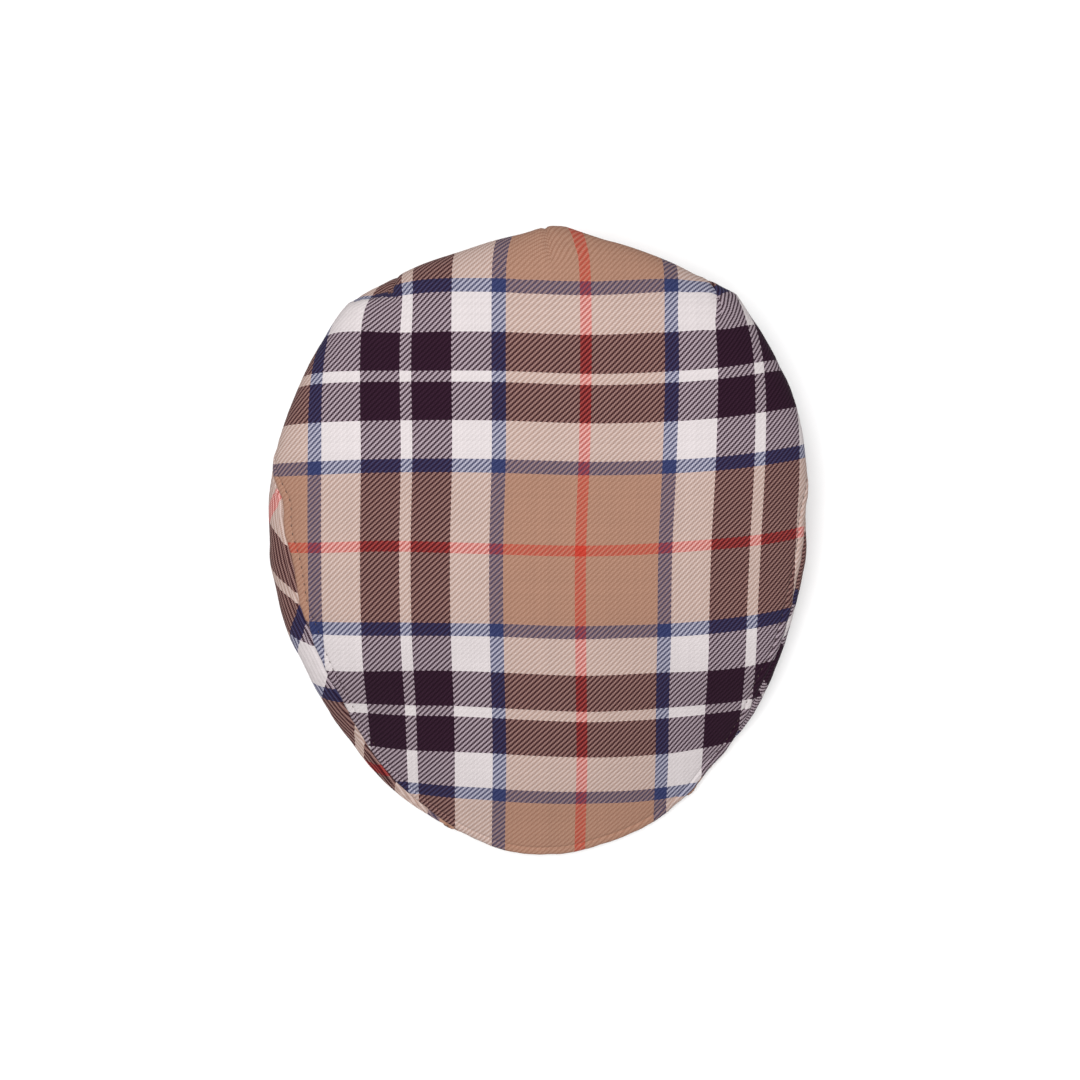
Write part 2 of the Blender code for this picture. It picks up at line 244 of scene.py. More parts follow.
class Shader:
    """A material's node tree with one Principled shader."""

    def __init__(self, name: str) -> None:
        """Starts a material with a Principled shader that is wired to the output.

        Args:
            name: The material's name.
        """
        self.material = bpy.data.materials.new(name)
        self.material.use_nodes = True
        self.tree = self.material.node_tree
        self.tree.nodes.clear()
        self.surface = self.node("ShaderNodeBsdfPrincipled")
        self.node("ShaderNodeOutputMaterial", None, {"Surface": self.surface})

    def node(
        self, kind: str, settings: Mapping[str, object] | None = None,
        values: Mapping[int | str, object] | None = None,
    ) -> Wire:
        """Adds a node.

        Args:
            kind: The node's type.
            settings: Its settings, set first. The stops of a ramp are a list of places and colours.
            values: A number, a colour or a Wire for each input, by name or place.

        Returns:
            The node's first output.
        """
        made = self.tree.nodes.new(kind)
        for name, value in (settings or {}).items():
            if name == "stops":
                self.set_stops(made.color_ramp, value)
            elif name == "interpolation":
                made.color_ramp.interpolation = value
            else:
                setattr(made, name, value)
        self.feed(Wire(self, made), values or {})
        return Wire(self, made)

    def feed(self, made: Wire, values: Mapping[int | str, object]) -> None:
        """Sets or links inputs of a node.

        Args:
            made: An output of the node.
            values: A number, a colour or a Wire for each input, by name or place.
        """
        for name, value in values.items():
            if isinstance(value, Wire):
                self.tree.links.new(value.node.outputs[value.name], made.node.inputs[name])
            else:
                made.node.inputs[name].default_value = value

    @staticmethod
    def set_stops(ramp: bpy.types.ColorRamp, stops: Sequence[tuple[float, Colour]]) -> None:
        """Puts stops on a ramp.

        Args:
            ramp: The ramp.
            stops: The place and the colour of each stop.
        """
        while len(ramp.elements) < len(stops):
            ramp.elements.new(1.0)
        for element, (place, colour) in zip(ramp.elements, stops):
            element.position = place
            element.color = (*colour, 1.0)

    def mixed(self, share: Wire | float, first: Wire | Colour, second: Wire | Colour) -> Wire:
        """Mixes two colours.

        Args:
            share: How much there is of the second colour.
            first: The first colour.
            second: The second colour.

        Returns:
            The mixed colour.
        """
        first, second = (one if isinstance(one, Wire) else (*one, 1.0) for one in (first, second))
        # Inputs 6 and 7 of a Mix node are its two colours, and output 2 is the mixed one
        return self.node("ShaderNodeMix", {"data_type": "RGBA"}, {0: share, 6: first, 7: second}).output(2)

    def joined(self, operation: str, first: Wire, second: Wire) -> Wire:
        """Joins two colours, or a colour and a number, channel by channel."""
        return self.node("ShaderNodeVectorMath", {"operation": operation}, {0: first, 1: second})

    def scaled(self, colour: Wire, share: Wire) -> Wire:
        """Makes a colour lighter or darker by a share."""
        return self.node("ShaderNodeVectorMath", {"operation": "SCALE"}, {0: colour, "Scale": share})

    def curved(self, colour: Wire, gamma: float) -> Wire:
        """Raises a colour to a fixed power."""
        return self.node("ShaderNodeGamma", None, {"Color": colour, "Gamma": gamma})

    def luminance(self, colour: Wire) -> Wire:
        """Gives a colour's lightness."""
        return self.node("ShaderNodeRGBToBW", None, {0: colour})

    def noise(
        self, place: Wire, scale: float, detail: float, roughness: float = 0.5, flat: bool = False,
    ) -> Wire:
        """Gives soft noise, from 0 to 1.

        Args:
            place: The map to read it on.
            scale: The number of its blotches in a metre.
            detail: How many finer layers it has.
            roughness: How strong these are.
            flat: Whether the map has two axes.

        Returns:
            The noise.
        """
        return self.node("ShaderNodeTexNoise", {"noise_dimensions": "2D" if flat else "3D"}, {
            "Vector": place, "Scale": scale, "Detail": detail, "Roughness": roughness,
        })

    def raised(self, height: Wire, strength: float, distance: float) -> Wire:
        """Gives the normal of a surface with a fine relief."""
        values = {"Strength": strength, "Distance": distance, "Height": height}
        return self.node("ShaderNodeBump", None, values)


# Finishes

class Yarn(Enum):
    """The tartan's yarns and their colours."""

    CAMEL = (0.345, 0.193, 0.137)
    WHITE = (0.585, 0.535, 0.540)
    BLACK = (0.0235, 0.0073, 0.0180)
    NAVY = (0.0345, 0.0430, 0.1180)
    RED = (0.465, 0.0480, 0.0310)


class Grain(Enum):
    """How a panel lies on the cloth: the turn of its own level line from the weft, in degrees."""

    STRAIGHT = 0.0
    LEFT_SIDE = -119.4
    RIGHT_SIDE = 97.0


class Stripe(NamedTuple):
    """Yarns of one colour side by side in the tartan."""

    yarn: Yarn
    count: int


@dataclass(frozen=True)
class TartanFinish:
    """Twill-woven tartan, with the same stripes in warp and weft, mirrored about the first and the last.

    sett lists the stripes from the middle of the red line to the middle of the fine white one, with half of
    these. Each yarn goes over two and under two. It lets the crossing yarn show through a little, a pale one
    more, fuzz of that one lies over it, and light bleeds between pale ones. The two colours' tints blend over
    the yarns' nap by the share blended, on a scale with the gamma eye. Painted shade makes the colour darker
    and stronger in the grooves between the yarns' crowns, by groove, and on one side of each rib, as on the
    side turned from the light, by rib_shade. hairs and patches are the scales of the noise in the fibres and
    over the cloth, and hair_detail and patch_detail its roughness. dye, hair_tone and patch_tone are how much
    lightness varies from yarn to yarn and with these.
    """

    pitch: float = 0.000591
    shows_through: float = 0.040
    pale_shows: float = 0.17
    blended: float = 0.60
    eye: float = 2.2
    fuzz: float = 0.030
    edge_fuzz: float = 0.06
    hair_fuzz: float = 0.14
    bleed: float = 0.75
    # rib_shade and groove are painted shade: how much one side of each rib and the grooves between yarns are
    # darkened
    rib_shade: float = 0.10
    groove: float = 0.16
    yarn_dip: float = 0.6
    dye: float = 0.10
    hairs: float = 5200.0
    hair_detail: float = 0.6
    hair_tone: float = 0.20
    patches: float = 42.0
    patch_detail: float = 0.55
    patch_tone: float = 0.08
    relief: float = 0.00016
    relief_strength: float = 0.55
    hair_relief: float = 0.35
    roughness: float = 0.92
    roughness_spread: float = 0.12
    sheen: float = 0.015
    sheen_roughness: float = 0.45
    gloss: float = 0.10
    sett: tuple[Stripe, ...] = (
        Stripe(Yarn.RED, 4),
        Stripe(Yarn.CAMEL, 52),
        Stripe(Yarn.NAVY, 10),
        Stripe(Yarn.WHITE, 28),
        Stripe(Yarn.BLACK, 28),
        Stripe(Yarn.WHITE, 4),
    )

    def dyed(self, shader: Shader, yarn: Wire) -> Wire:
        """Colours the yarns of one direction.

        Args:
            shader: The shader to add nodes to.
            yarn: The yarn's number, counted from the middle of the red line.

        Returns:
            The yarn's colour.
        """
        half = sum(stripe.count for stripe in self.sett)
        stops = []
        start = 0
        for stripe in self.sett:
            stops.append((start / half, stripe.yarn.value))
            start += stripe.count
        place = (yarn + 0.5).pingpong(half) / half
        ramp = {"interpolation": "CONSTANT", "stops": stops}
        colour = shader.node("ShaderNodeValToRGB", ramp, {"Fac": place})
        tone = shader.node("ShaderNodeTexWhiteNoise", {"noise_dimensions": "1D"}, {"W": yarn}).output("Value")
        return shader.scaled(colour, tone.about(1.0, self.dye))

    def crossed(self, shader: Shader, upper: Wire, lower: Wire, depth: Wire) -> Wire:
        """Colours a yarn that lies over another one.

        Args:
            shader: The shader to add nodes to.
            upper: The colour of the yarn itself.
            lower: The colour of the yarn beneath.
            depth: How far painted shade makes the colour darker and stronger there, 1 where there is none.

        Returns:
            The colour that shows.
        """
        beneath = depth * (shader.luminance(upper) * self.pale_shows + self.shows_through)
        over = shader.joined("POWER", upper, depth - beneath)
        return shader.joined("MULTIPLY", over, shader.joined("POWER", lower, beneath))

    def napped(self, shader: Shader, colour: Wire, weft: Wire, warp: Wire) -> Wire:
        """Blends the tints of crossing yarns over their nap, and leaves the lightness as it is.

        Args:
            shader: The shader to add nodes to.
            colour: The colour that shows.
            weft: The colour of the weft yarn there.
            warp: The colour of the warp yarn there.

        Returns:
            The colour with its blended tint.
        """
        seen, weft_seen, warp_seen = (shader.curved(one, 1.0 / self.eye) for one in (colour, weft, warp))
        both = shader.mixed(0.5, weft_seen, warp_seen)
        tinted = shader.joined("ADD", both, shader.luminance(seen) - shader.luminance(both))
        return shader.curved(shader.mixed(self.blended, seen, tinted), self.eye)

    def material(self, name: str) -> bpy.types.Material:
        """Makes the material, which reads the mesh's map named cloth, in metres.

        Args:
            name: The material's name.

        Returns:
            The material.
        """
        shader = Shader(name)
        flat = shader.node("ShaderNodeUVMap", {"uv_map": "cloth"})
        axes = shader.node("ShaderNodeSeparateXYZ", None, {0: flat})
        across, along = axes.output("X") / self.pitch, axes.output("Y") / self.pitch
        end, pick = across.floor(), along.floor()
        side, forth = across - end, along - pick
        step = (end - pick) % 4.0
        warp_over = step < 2.0
        over = warp_over.blend(step - 2.0 + side, 1.0 - step + forth)
        width = warp_over.blend(forth, side)
        crown = 1.0 - (over - 1.0) ** 2.0
        round_yarn = 1.0 - (width * 2.0 - 1.0) ** 2.0
        height = round_yarn * (crown * self.yarn_dip + (1.0 - self.yarn_dip))

        fibre = shader.noise(flat, self.hairs, 2.0, self.hair_detail, flat=True)
        patch = shader.noise(flat, self.patches, 3.0, self.patch_detail, flat=True)
        weft, warp = self.dyed(shader, pick), self.dyed(shader, end)
        # Painted shade: darker, stronger colour in the grooves between the yarns' crowns and on one side of
        # each twill rib, as on the side turned from the light
        shaded = (step - 1.0) % 4.0 < 2.0
        depth = (1.0 - height) * self.groove + shaded.about(1.0, 2.0 * self.rib_shade)
        bled = shader.luminance(weft).least(shader.luminance(warp)) * self.bleed
        fuzz = (1.0 - round_yarn) * self.edge_fuzz + fibre.about(self.fuzz, self.hair_fuzz) + bled
        colour = shader.mixed(
            warp_over.blend(fuzz, 1.0 - fuzz),
            self.crossed(shader, weft, warp, depth), self.crossed(shader, warp, weft, depth),
        )
        light = fibre.about(1.0, self.hair_tone) * patch.about(1.0, self.patch_tone)
        shader.feed(shader.surface, {
            "Base Color": shader.scaled(self.napped(shader, colour, weft, warp), light),
            "Roughness": fibre.about(self.roughness, self.roughness_spread),
            "Sheen Weight": self.sheen,
            "Sheen Roughness": self.sheen_roughness,
            "Specular IOR Level": self.gloss,
            "Normal": shader.raised(height + fibre * self.hair_relief, self.relief_strength, self.relief),
        })
        return shader.material


@dataclass(frozen=True)
class ThreadFinish:
    """Spun sewing thread."""

    colour: Colour = (0.060, 0.030, 0.028)
    shade: float = 0.6
    twist: float = 5000.0
    roughness: float = 0.62
    roughness_spread: float = 0.2
    relief: float = 0.00005

    def material(self, name: str) -> bpy.types.Material:
        """Makes the material.

        Args:
            name: The material's name.

        Returns:
            The material.
        """
        shader = Shader(name)
        tone = shader.noise(shader.node("ShaderNodeTexCoord").output("Object"), self.twist, 2.0)
        dark = tuple(part * self.shade for part in self.colour)
        shader.feed(shader.surface, {
            "Base Color": shader.mixed(tone, dark, self.colour),
            "Roughness": tone.about(self.roughness, self.roughness_spread),
            "Normal": shader.raised(tone, 0.5, self.relief),
        })
        return shader.material


@dataclass(frozen=True)
class PaperFinish:
    """The matt white paper of the studio floor."""

    colour: Colour = (0.93, 0.93, 0.93)
    light: float = 1.01
    grain: float = 300.0
    roughness: float = 0.9
    gloss: float = 0.2

    def material(self, name: str) -> bpy.types.Material:
        """Makes the material.

        Args:
            name: The material's name.

        Returns:
            The material.
        """
        shader = Shader(name)
        grain = shader.noise(shader.node("ShaderNodeTexCoord").output("Object"), self.grain, 3.0)
        light = tuple(min(part * self.light, 1.0) for part in self.colour)
        shader.feed(shader.surface, {
            "Base Color": shader.mixed(grain, self.colour, light),
            "Roughness": self.roughness,
            "Specular IOR Level": self.gloss,
        })
        return shader.material


# The crown's surface

class Spoke(NamedTuple):
    """One direction round the crown, the same number of degrees from the front on both sides.

    reach is the outline's distance from the centre, as a share of a plain oval of the cap's length and width.
    swell is the height of the outline above the lower edge, as a share of the crown's height.
    roll says how late the top turns down towards the outline: 2 is round, 6 is flat with a tight edge.
    seam is the place of the top panel's seam, in q.
    """

    angle: float
    reach_left: float
    reach_right: float
    swell: float
    roll_left: float
    roll_right: float
    seam_left: float
    seam_right: float


class Ridge(NamedTuple):
    """A soft ridge beside a line, or a groove where rise is negative: all in metres."""

    away: float
    rise: float
    width: float

    def at(self, distance: Array) -> Array:
        """Gives its height at distances from the line."""
        return self.rise * bell(distance - self.away, self.width)


@dataclass(frozen=True)
class Dart:
    """A sewn dart, from the point start (in q) over the outline, which it crosses at angle, to the seam.

    lean is how far its line leaves that spoke, in degrees for a whole q inwards. hollow is its soft sunk
    valley, and crease and lip are the sewn line and the cloth that stands up beside it. swing is how far the
    cloth beside it turns towards it, in degrees, reach how far out this is felt, in metres, and swing_starts
    the stretch past the point over which it begins. The sewn line begins over sewn_from, counted from start,
    and loses its share eased where it turns over the outline.
    """

    angle: float
    start: float
    lean: float
    swing: float
    crease: Ridge = Ridge(0.0, -0.0006, 0.0009)
    lip: Ridge = Ridge(0.0030, 0.00025, 0.0018)
    hollow: Ridge = Ridge(0.0, -0.0003, 0.00425)
    hollow_ends: float = 1.26
    reach: float = 0.010
    swing_starts: tuple[float, float] = (-0.002, 0.006)
    sewn_from: tuple[float, float] = (-0.01, 0.04)
    eased_over: tuple[float, float] = (0.97, 1.01)
    eased: float = 0.5

    def off(self, angle: Array, q: Array) -> Array:
        """Gives how far to the side of the dart's line spokes lie, in degrees."""
        return folded(angle - self.angle - self.lean * (1.0 - np.clip(q, self.start, 1.0)))

    def relief(self, away: Array, q: Array) -> Array:
        """Gives how far the sewn line and its lips stand out.

        Args:
            away: How far from the line points lie.
            q: Their places down the crown.

        Returns:
            The height at each point.
        """
        sewn = smoothstep(*self.sewn_from, q - self.start)
        sewn = sewn * (1.0 - self.eased * smoothstep(*self.eased_over, q))
        return (self.crease.at(away) + self.lip.at(np.abs(away))) * sewn


@dataclass(frozen=True)
class Tuck:
    """A crease across a back corner, from a dart to the outline, where the cloth is tucked in and steps down.

    start and end are its ends in plan, and dart is the number of its dart. take is the number of weft yarns
    that it hides. width is that of the step and drop its height. Behind the step all but lasting of the drop
    fades over fades, and beside the dart the step grows over grows, and ends between near_end and far_end. It
    is felt on this many degrees of spokes and hangs down to this q.
    """

    start: tuple[float, float] = (-0.0593, 0.1084)
    end: tuple[float, float] = (-0.0813, 0.1053)
    dart: int = 0
    take: float = 9.0
    width: float = 0.0008
    drop: float = 0.0020
    lasting: float = 0.15
    fades: float = 0.008
    grows: float = 0.0022
    near_end: float = 0.050
    far_end: float = 0.100
    spokes: float = 60.0
    hangs: float = 1.25

    def back(self) -> Array:
        """Gives the plan direction that points from the crease to the back."""
        along = unit(np.array(self.end) - np.array(self.start))
        return np.array([along[1], -along[0]])

    def beyond(self, points: Array) -> Array:
        """Gives how far points lie behind the crease, in plan."""
        return (points[..., :2] - np.array(self.start)) @ self.back()

    def share(self, points: Array) -> Array:
        """Gives how much of the step points are past."""
        return np.clip(self.beyond(points) / self.width, 0.0, 1.0)

    def fallen(self, points: Array, away: Array) -> Array:
        """Gives how far the cloth has dropped.

        Args:
            points: The points.
            away: How far to the side of the dart they lie.

        Returns:
            The drop at each point.
        """
        beside = smoothstep(0.0, self.grows, away) * smoothstep(self.far_end, self.near_end, away)
        faded = 1.0 - (1.0 - self.lasting) * smoothstep(0.0, self.fades, self.beyond(points))
        return self.drop * self.share(points) * faded * beside


class Corner(NamedTuple):
    """A corner that a dart's fullness pushes out of the outline: rise in shares of the oval's reach."""

    angle: float
    rise: float
    spread: float


class Swell(NamedTuple):
    """A soft swell of a line round the crown, outwards or, where rise is negative, inwards.

    rise is in metres, angle and spread in degrees.
    """

    angle: float
    rise: float
    spread: float

    def at(self, angle: Array) -> Array:
        """Gives how far the line moves."""
        return self.rise * bell(folded(angle - self.angle), self.spread)


@dataclass(frozen=True)
class Crown:
    """The stretched crown, whose spokes run from its centre over the outline to the lower edge.

    ridge is the height of its middle line from the front to the back, in shares of the crown's own rise. The
    peak thins from the angle peak_thins on, to the share peak_tip at its two tips. The lower edge leaves the
    outline at edge_leaves, runs on the head's oval from edge_lands and on the floor from edge_on_floor, and
    the peak lifts the outline as far as edge_fades. bulge_drop and rim_stand shape the curve below the
    outline. The top turns down to the vertical where swell is full_turn_swell or more.
    """

    length: float = 0.277
    width: float = 0.235
    height: float = 0.085
    head_length: float = 0.204
    head_width: float = 0.172
    back_overhang: float = 0.020
    cloth: float = 0.002
    hem: float = 0.003
    seam_gap: float = 0.0005
    seam_stop: float = 0.0014
    peak_thickness: float = 0.0035
    peak_rise: float = 0.007
    peak_span: float = 134.0
    peak_thins: float = 46.0
    peak_tip: float = 0.30
    edge_leaves: float = 35.0
    edge_lands: float = 72.0
    edge_on_floor: float = 77.0
    edge_fades: float = 110.0
    bulge_drop: float = 0.72
    rim_stand: float = 0.55
    full_turn_swell: float = 0.30
    corner_depth: float = 0.28
    corner_curve: float = 1.3
    corner_fades: tuple[float, float] = (1.6, 2.0)
    samples: int = 44
    spokes: tuple[Spoke, ...] = (
        Spoke(0, 0.998, 0.998, 0.00, 2.5, 2.5, 1.00, 1.00),
        Spoke(15, 0.977, 0.995, 0.00, 2.5, 2.5, 0.985, 1.00),
        Spoke(30, 0.972, 0.992, 0.01, 2.6, 2.5, 0.965, 0.985),
        Spoke(45, 0.960, 0.979, 0.10, 3.2, 2.6, 0.93, 0.96),
        Spoke(60, 0.959, 0.978, 0.30, 4.0, 2.8, 0.89, 0.94),
        Spoke(75, 0.980, 0.979, 0.42, 4.8, 3.0, 0.85, 0.95),
        Spoke(90, 1.000, 0.997, 0.53, 5.4, 3.0, 0.87, 0.96),
        Spoke(105, 1.003, 1.011, 0.66, 5.4, 3.2, 0.99, 1.04),
        Spoke(120, 1.003, 1.042, 0.73, 5.2, 3.8, 1.14, 1.16),
        Spoke(135, 1.014, 1.050, 0.75, 5.0, 4.4, 1.24, 1.24),
        Spoke(150, 0.993, 1.026, 0.76, 5.0, 5.0, 1.28, 1.28),
        Spoke(165, 0.964, 0.994, 0.77, 5.0, 5.0, 1.30, 1.30),
        Spoke(180, 0.986, 0.986, 0.78, 5.0, 5.0, 1.30, 1.30),
    )
    ridge: tuple[float, ...] = (0.000, 0.226, 0.405, 0.585, 0.728, 0.870, 0.965, 1.000, 0.975)
    darts: tuple[Dart, ...] = (
        Dart(-153.1, 0.91, 26.0, 5.0),
        Dart(178.8, 0.85, -10.0, 22.0, crease=Ridge(0.0, -0.0012, 0.0009)),
        Dart(148.4, 0.87, -47.0, 7.0, crease=Ridge(0.0, -0.0009, 0.0009)),
    )
    tuck: Tuck = Tuck()
    corners: tuple[Corner, ...] = (
        Corner(-143.0, 0.026, 9.0), Corner(175.5, 0.020, 8.0), Corner(142.5, 0.030, 8.0),
    )
    swells: tuple[Swell, ...] = (
        Swell(-176.0, -0.0010, 6.0), Swell(-166.0, -0.0005, 6.0), Swell(-143.5, -0.0006, 2.2),
        Swell(-136.0, -0.0004, 10.0), Swell(-97.0, -0.0008, 8.0), Swell(-87.0, -0.0004, 6.0),
        Swell(-76.0, 0.0006, 5.0), Swell(-67.0, -0.00135, 5.0), Swell(-24.0, -0.0003, 6.0),
        Swell(-8.0, 0.0005, 2.0), Swell(-5.0, 0.0006, 4.0), Swell(8.0, 0.0004, 5.0),
        Swell(20.0, 0.00085, 7.0), Swell(33.0, 0.0007, 2.2), Swell(42.0, -0.0003, 6.0),
        Swell(43.5, 0.0005, 2.5), Swell(51.0, 0.00065, 5.0), Swell(60.0, -0.00035, 5.0),
        Swell(70.0, -0.0002, 7.0), Swell(97.0, -0.0012, 5.0), Swell(119.0, 0.0004, 7.0),
        Swell(127.5, -0.0005, 2.4), Swell(135.0, 0.0006, 2.0), Swell(148.0, 0.0006, 2.2),
        Swell(160.0, -0.0008, 7.0), Swell(172.0, -0.0009, 6.0), Swell(178.5, 0.0008, 1.8),
    )
    seam_swells: tuple[Swell, ...] = (
        Swell(-102.5, -0.0065, 5.5), Swell(-78.0, 0.0019, 9.0), Swell(-67.0, 0.0018, 3.5),
        Swell(-54.0, -0.0018, 6.0), Swell(-14.0, 0.0019, 7.0), Swell(30.0, 0.0020, 8.0),
        Swell(44.0, 0.0050, 7.0), Swell(53.0, 0.0016, 5.0), Swell(66.0, 0.0013, 9.0),
        Swell(99.0, -0.0020, 5.0),
    )

    def around(self, column: str, angle: Array) -> Array:
        """Reads a column of the spokes at any angle.

        Args:
            column: The column's name, without left or right if it has these.
            angle: The angles in degrees, with the left negative.

        Returns:
            The smooth column's value at each angle.
        """
        steps = len(self.spokes) - 1
        values = []
        for index in range(-steps - 1, steps + 3):
            signed = (index + steps) % (2 * steps) - steps
            spoke = self.spokes[abs(signed)]
            name = column if hasattr(spoke, column) else f"{column}_{'left' if signed < 0 else 'right'}"
            values.append(getattr(spoke, name))
        return spline(np.array(values), folded(angle) / (180.0 / steps) + steps)

    def oval_reach(self, angle: Array) -> Array:
        """Gives the distance from the centre to a plain oval."""
        way = bearing(angle)
        return 1.0 / np.hypot(way[..., 0] / (self.width / 2), way[..., 1] / (self.length / 2))

    def outline_reach(self, angle: Array) -> Array:
        """Gives the distance from the centre to the outline, without its corners."""
        swelled = sum(swell.at(angle) for swell in self.swells)
        return self.around("reach", angle) * self.oval_reach(angle) + swelled

    def corner_reach(self, angle: Array) -> Array:
        """Gives what the corners add to the outline.

        Args:
            angle: The angles.

        Returns:
            What is added at each angle.
        """
        rise = np.zeros_like(angle)
        for corner in self.corners:
            away = np.abs(folded(angle - corner.angle)) / corner.spread
            rise += corner.rise * np.maximum(0.0, 1.0 - away) ** self.corner_curve
        return rise * self.oval_reach(angle)

    def opening_reach(self, angle: Array, wall: float) -> Array:
        """Gives the distance from the centre to the oval of the head opening.

        Args:
            angle: The angles.
            wall: The thickness of the wall that is counted with the opening.

        Returns:
            The distance at each angle.
        """
        way = bearing(angle)
        width, length = self.head_width / 2 + wall, self.head_length / 2 + wall
        middle = self.length / 2 - self.back_overhang - self.hem - self.head_length / 2
        square = (way[..., 0] / width) ** 2 + (way[..., 1] / length) ** 2
        half = -way[..., 1] * middle / length ** 2
        return (-half + np.sqrt(half * half - square * ((middle / length) ** 2 - 1.0))) / square

    def peak_underside(self, angle: Array) -> Array:
        """Gives the height of the peak's underside."""
        share = np.minimum(np.abs(folded(angle)) / (self.peak_span / 2), 1.0)
        return self.peak_rise * 0.5 * (1.0 + np.cos(math.pi * share))

    def peak_depth(self, angle: Array) -> Array:
        """Gives the peak's thickness, which lessens towards its two tips."""
        whole = smoothstep(self.peak_span / 2, self.peak_thins, np.abs(folded(angle)))
        return self.peak_thickness * (self.peak_tip + (1.0 - self.peak_tip) * whole)

    def edge_reach(self, angle: Array) -> Array:
        """Gives the distance from the centre to the crown's lower edge."""
        tucked = smoothstep(self.edge_leaves, self.edge_lands, np.abs(folded(angle)))
        return (1.0 - tucked) * self.outline_reach(angle) + tucked * self.opening_reach(angle, self.hem)

    def edge_height(self, angle: Array) -> Array:
        """Gives the height of the crown's lower edge."""
        on_peak = 1.0 - smoothstep(self.peak_span / 2, self.edge_on_floor, np.abs(folded(angle)))
        return on_peak * (self.peak_underside(angle) + self.peak_depth(angle) + self.seam_gap)

    def outline_height(self, angle: Array) -> Array:
        """Gives the height of the outline.

        Args:
            angle: The angles.

        Returns:
            The height at each angle.
        """
        on_peak = 1.0 - smoothstep(self.edge_leaves, self.edge_fades, np.abs(folded(angle)))
        peak_top = self.peak_underside(angle) + self.peak_thickness + self.seam_gap
        return on_peak * peak_top + self.cloth + self.around("swell", angle) * self.height

    def ridge_height(self, along: Array) -> Array:
        """Gives the height of the stretched top along its middle.

        Args:
            along: The distances behind the centre.

        Returns:
            The height at each distance.
        """
        ridge = self.ridge
        front = self.outline_height(np.zeros(1))[0]
        heights = np.array([2 * ridge[0] - ridge[1], *ridge, 2 * ridge[-1] - ridge[-2]])
        place = (np.clip(along / (self.length / 2), -1.0, 1.0) + 1.0) * (len(ridge) - 1) / 2
        return front + (self.height - front) * spline(heights, place)

    def upper_lines(self, angle: Array) -> Array:
        """Draws spokes from the crown's centre to the outline.

        Args:
            angle: The angles.

        Returns:
            The points of each spoke.
        """
        turn = np.linspace(0.0, math.pi / 2, self.samples + 1)[None, :]
        reach = self.outline_reach(angle)[:, None]
        way = bearing(angle)
        drop = self.ridge_height(way[:, 1:2] * reach) - self.outline_height(angle)[:, None]
        roll = self.around("roll", angle)[:, None]
        power = 2.0 - np.clip(self.around("swell", angle) / self.full_turn_swell, 0.0, 1.0)[:, None]
        out = reach * np.sin(turn) ** (2.0 / roll)
        fallen = drop * (1.0 - np.maximum(np.cos(turn), 0.0) ** power)
        points = way[:, None, :] * out[..., None]
        points[..., 2] = self.ridge_height(way[:, 1:2] * out) - fallen
        return points

    def lower_lines(self, angle: Array) -> Array:
        """Draws spokes from the outline to the crown's lower edge: over the bulge, then in and down.

        Args:
            angle: The angles.

        Returns:
            The points of each spoke.
        """
        top, foot = self.outline_height(angle), self.edge_height(angle)
        way = bearing(angle)
        out, tucked = way * self.outline_reach(angle)[:, None], way * self.edge_reach(angle)[:, None]
        heights = (top, top - self.bulge_drop * (top - foot), foot + self.rim_stand * (top - foot), foot)
        up = np.array([0.0, 0.0, 1.0])
        knots = [place + up * height[:, None] for place, height in zip((out, out, tucked, tucked), heights)]
        share = np.linspace(0.0, 1.0, self.samples + 1)[None, :, None]
        rest = 1.0 - share
        weights = (rest ** 3, 3.0 * rest ** 2 * share, 3.0 * rest * share ** 2, share ** 3)
        return sum(knot[:, None, :] * weight for knot, weight in zip(knots, weights))

    @staticmethod
    def marks(lines: Array) -> Array:
        """Gives how far along its line each point of drawn lines lies."""
        steps = np.linalg.norm(np.diff(lines, axis=1), axis=2)
        return np.concatenate([np.zeros((len(lines), 1)), np.cumsum(steps, axis=1)], axis=1)

    @staticmethod
    def walk(lines: Array, marks: Array, rows: Array, distance: Array) -> Array:
        """Finds points at distances along drawn lines.

        Args:
            lines: The lines' points.
            marks: How far along its line each point lies.
            rows: The line that each wanted point is on.
            distance: How far along it the point is.

        Returns:
            The points.
        """
        index = np.clip((marks[rows] < distance[:, None]).sum(axis=1), 1, marks.shape[1] - 1)
        start, end = marks[rows, index - 1], marks[rows, index]
        share = np.clip((distance - start) / np.maximum(end - start, 1e-12), 0.0, 1.0)
        return lines[rows, index - 1] * (1.0 - share)[:, None] + lines[rows, index] * share[:, None]

    def lengths(self, angle: Array) -> tuple[Array, Array]:
        """Gives the length of the spokes above and below the outline."""
        return self.marks(self.upper_lines(angle))[:, -1], self.marks(self.lower_lines(angle))[:, -1]

    def seam_distance(self, angle: Array) -> Array:
        """Gives the distance down the crown to the top panel's seam.

        Args:
            angle: The angles.

        Returns:
            The distance along each spoke.
        """
        upper, lower = self.lengths(angle)
        seam = self.around("seam", angle)
        plain = np.where(seam <= 1.0, seam * upper, upper + (seam - 1.0) * lower)
        swelled = plain + sum(swell.at(angle) for swell in self.seam_swells)
        return np.minimum(swelled, upper + lower - self.seam_stop)

    def points(self, angle: Array, distance: Array) -> tuple[Array, Array]:
        """Finds points of the crown's outer surface.

        Args:
            angle: The angle of each point.
            distance: Its distance down the crown from the centre, along the spoke.

        Returns:
            The points, and their places q.
        """
        known, rows = np.unique(np.round(angle, 9), return_inverse=True)
        rows = rows.reshape(-1)
        upper, lower = self.upper_lines(known), self.lower_lines(known)
        upper_marks, lower_marks = self.marks(upper), self.marks(lower)
        top, below = upper_marks[rows, -1], lower_marks[rows, -1]
        on_top = distance <= top
        found = np.where(
            on_top[:, None],
            self.walk(upper, upper_marks, rows, np.minimum(distance, top)),
            self.walk(lower, lower_marks, rows, np.clip(distance - top, 0.0, below)),
        )
        q = np.where(on_top, distance / top, 1.0 + (distance - top) / below)
        return self.shaped(found, angle, q), q

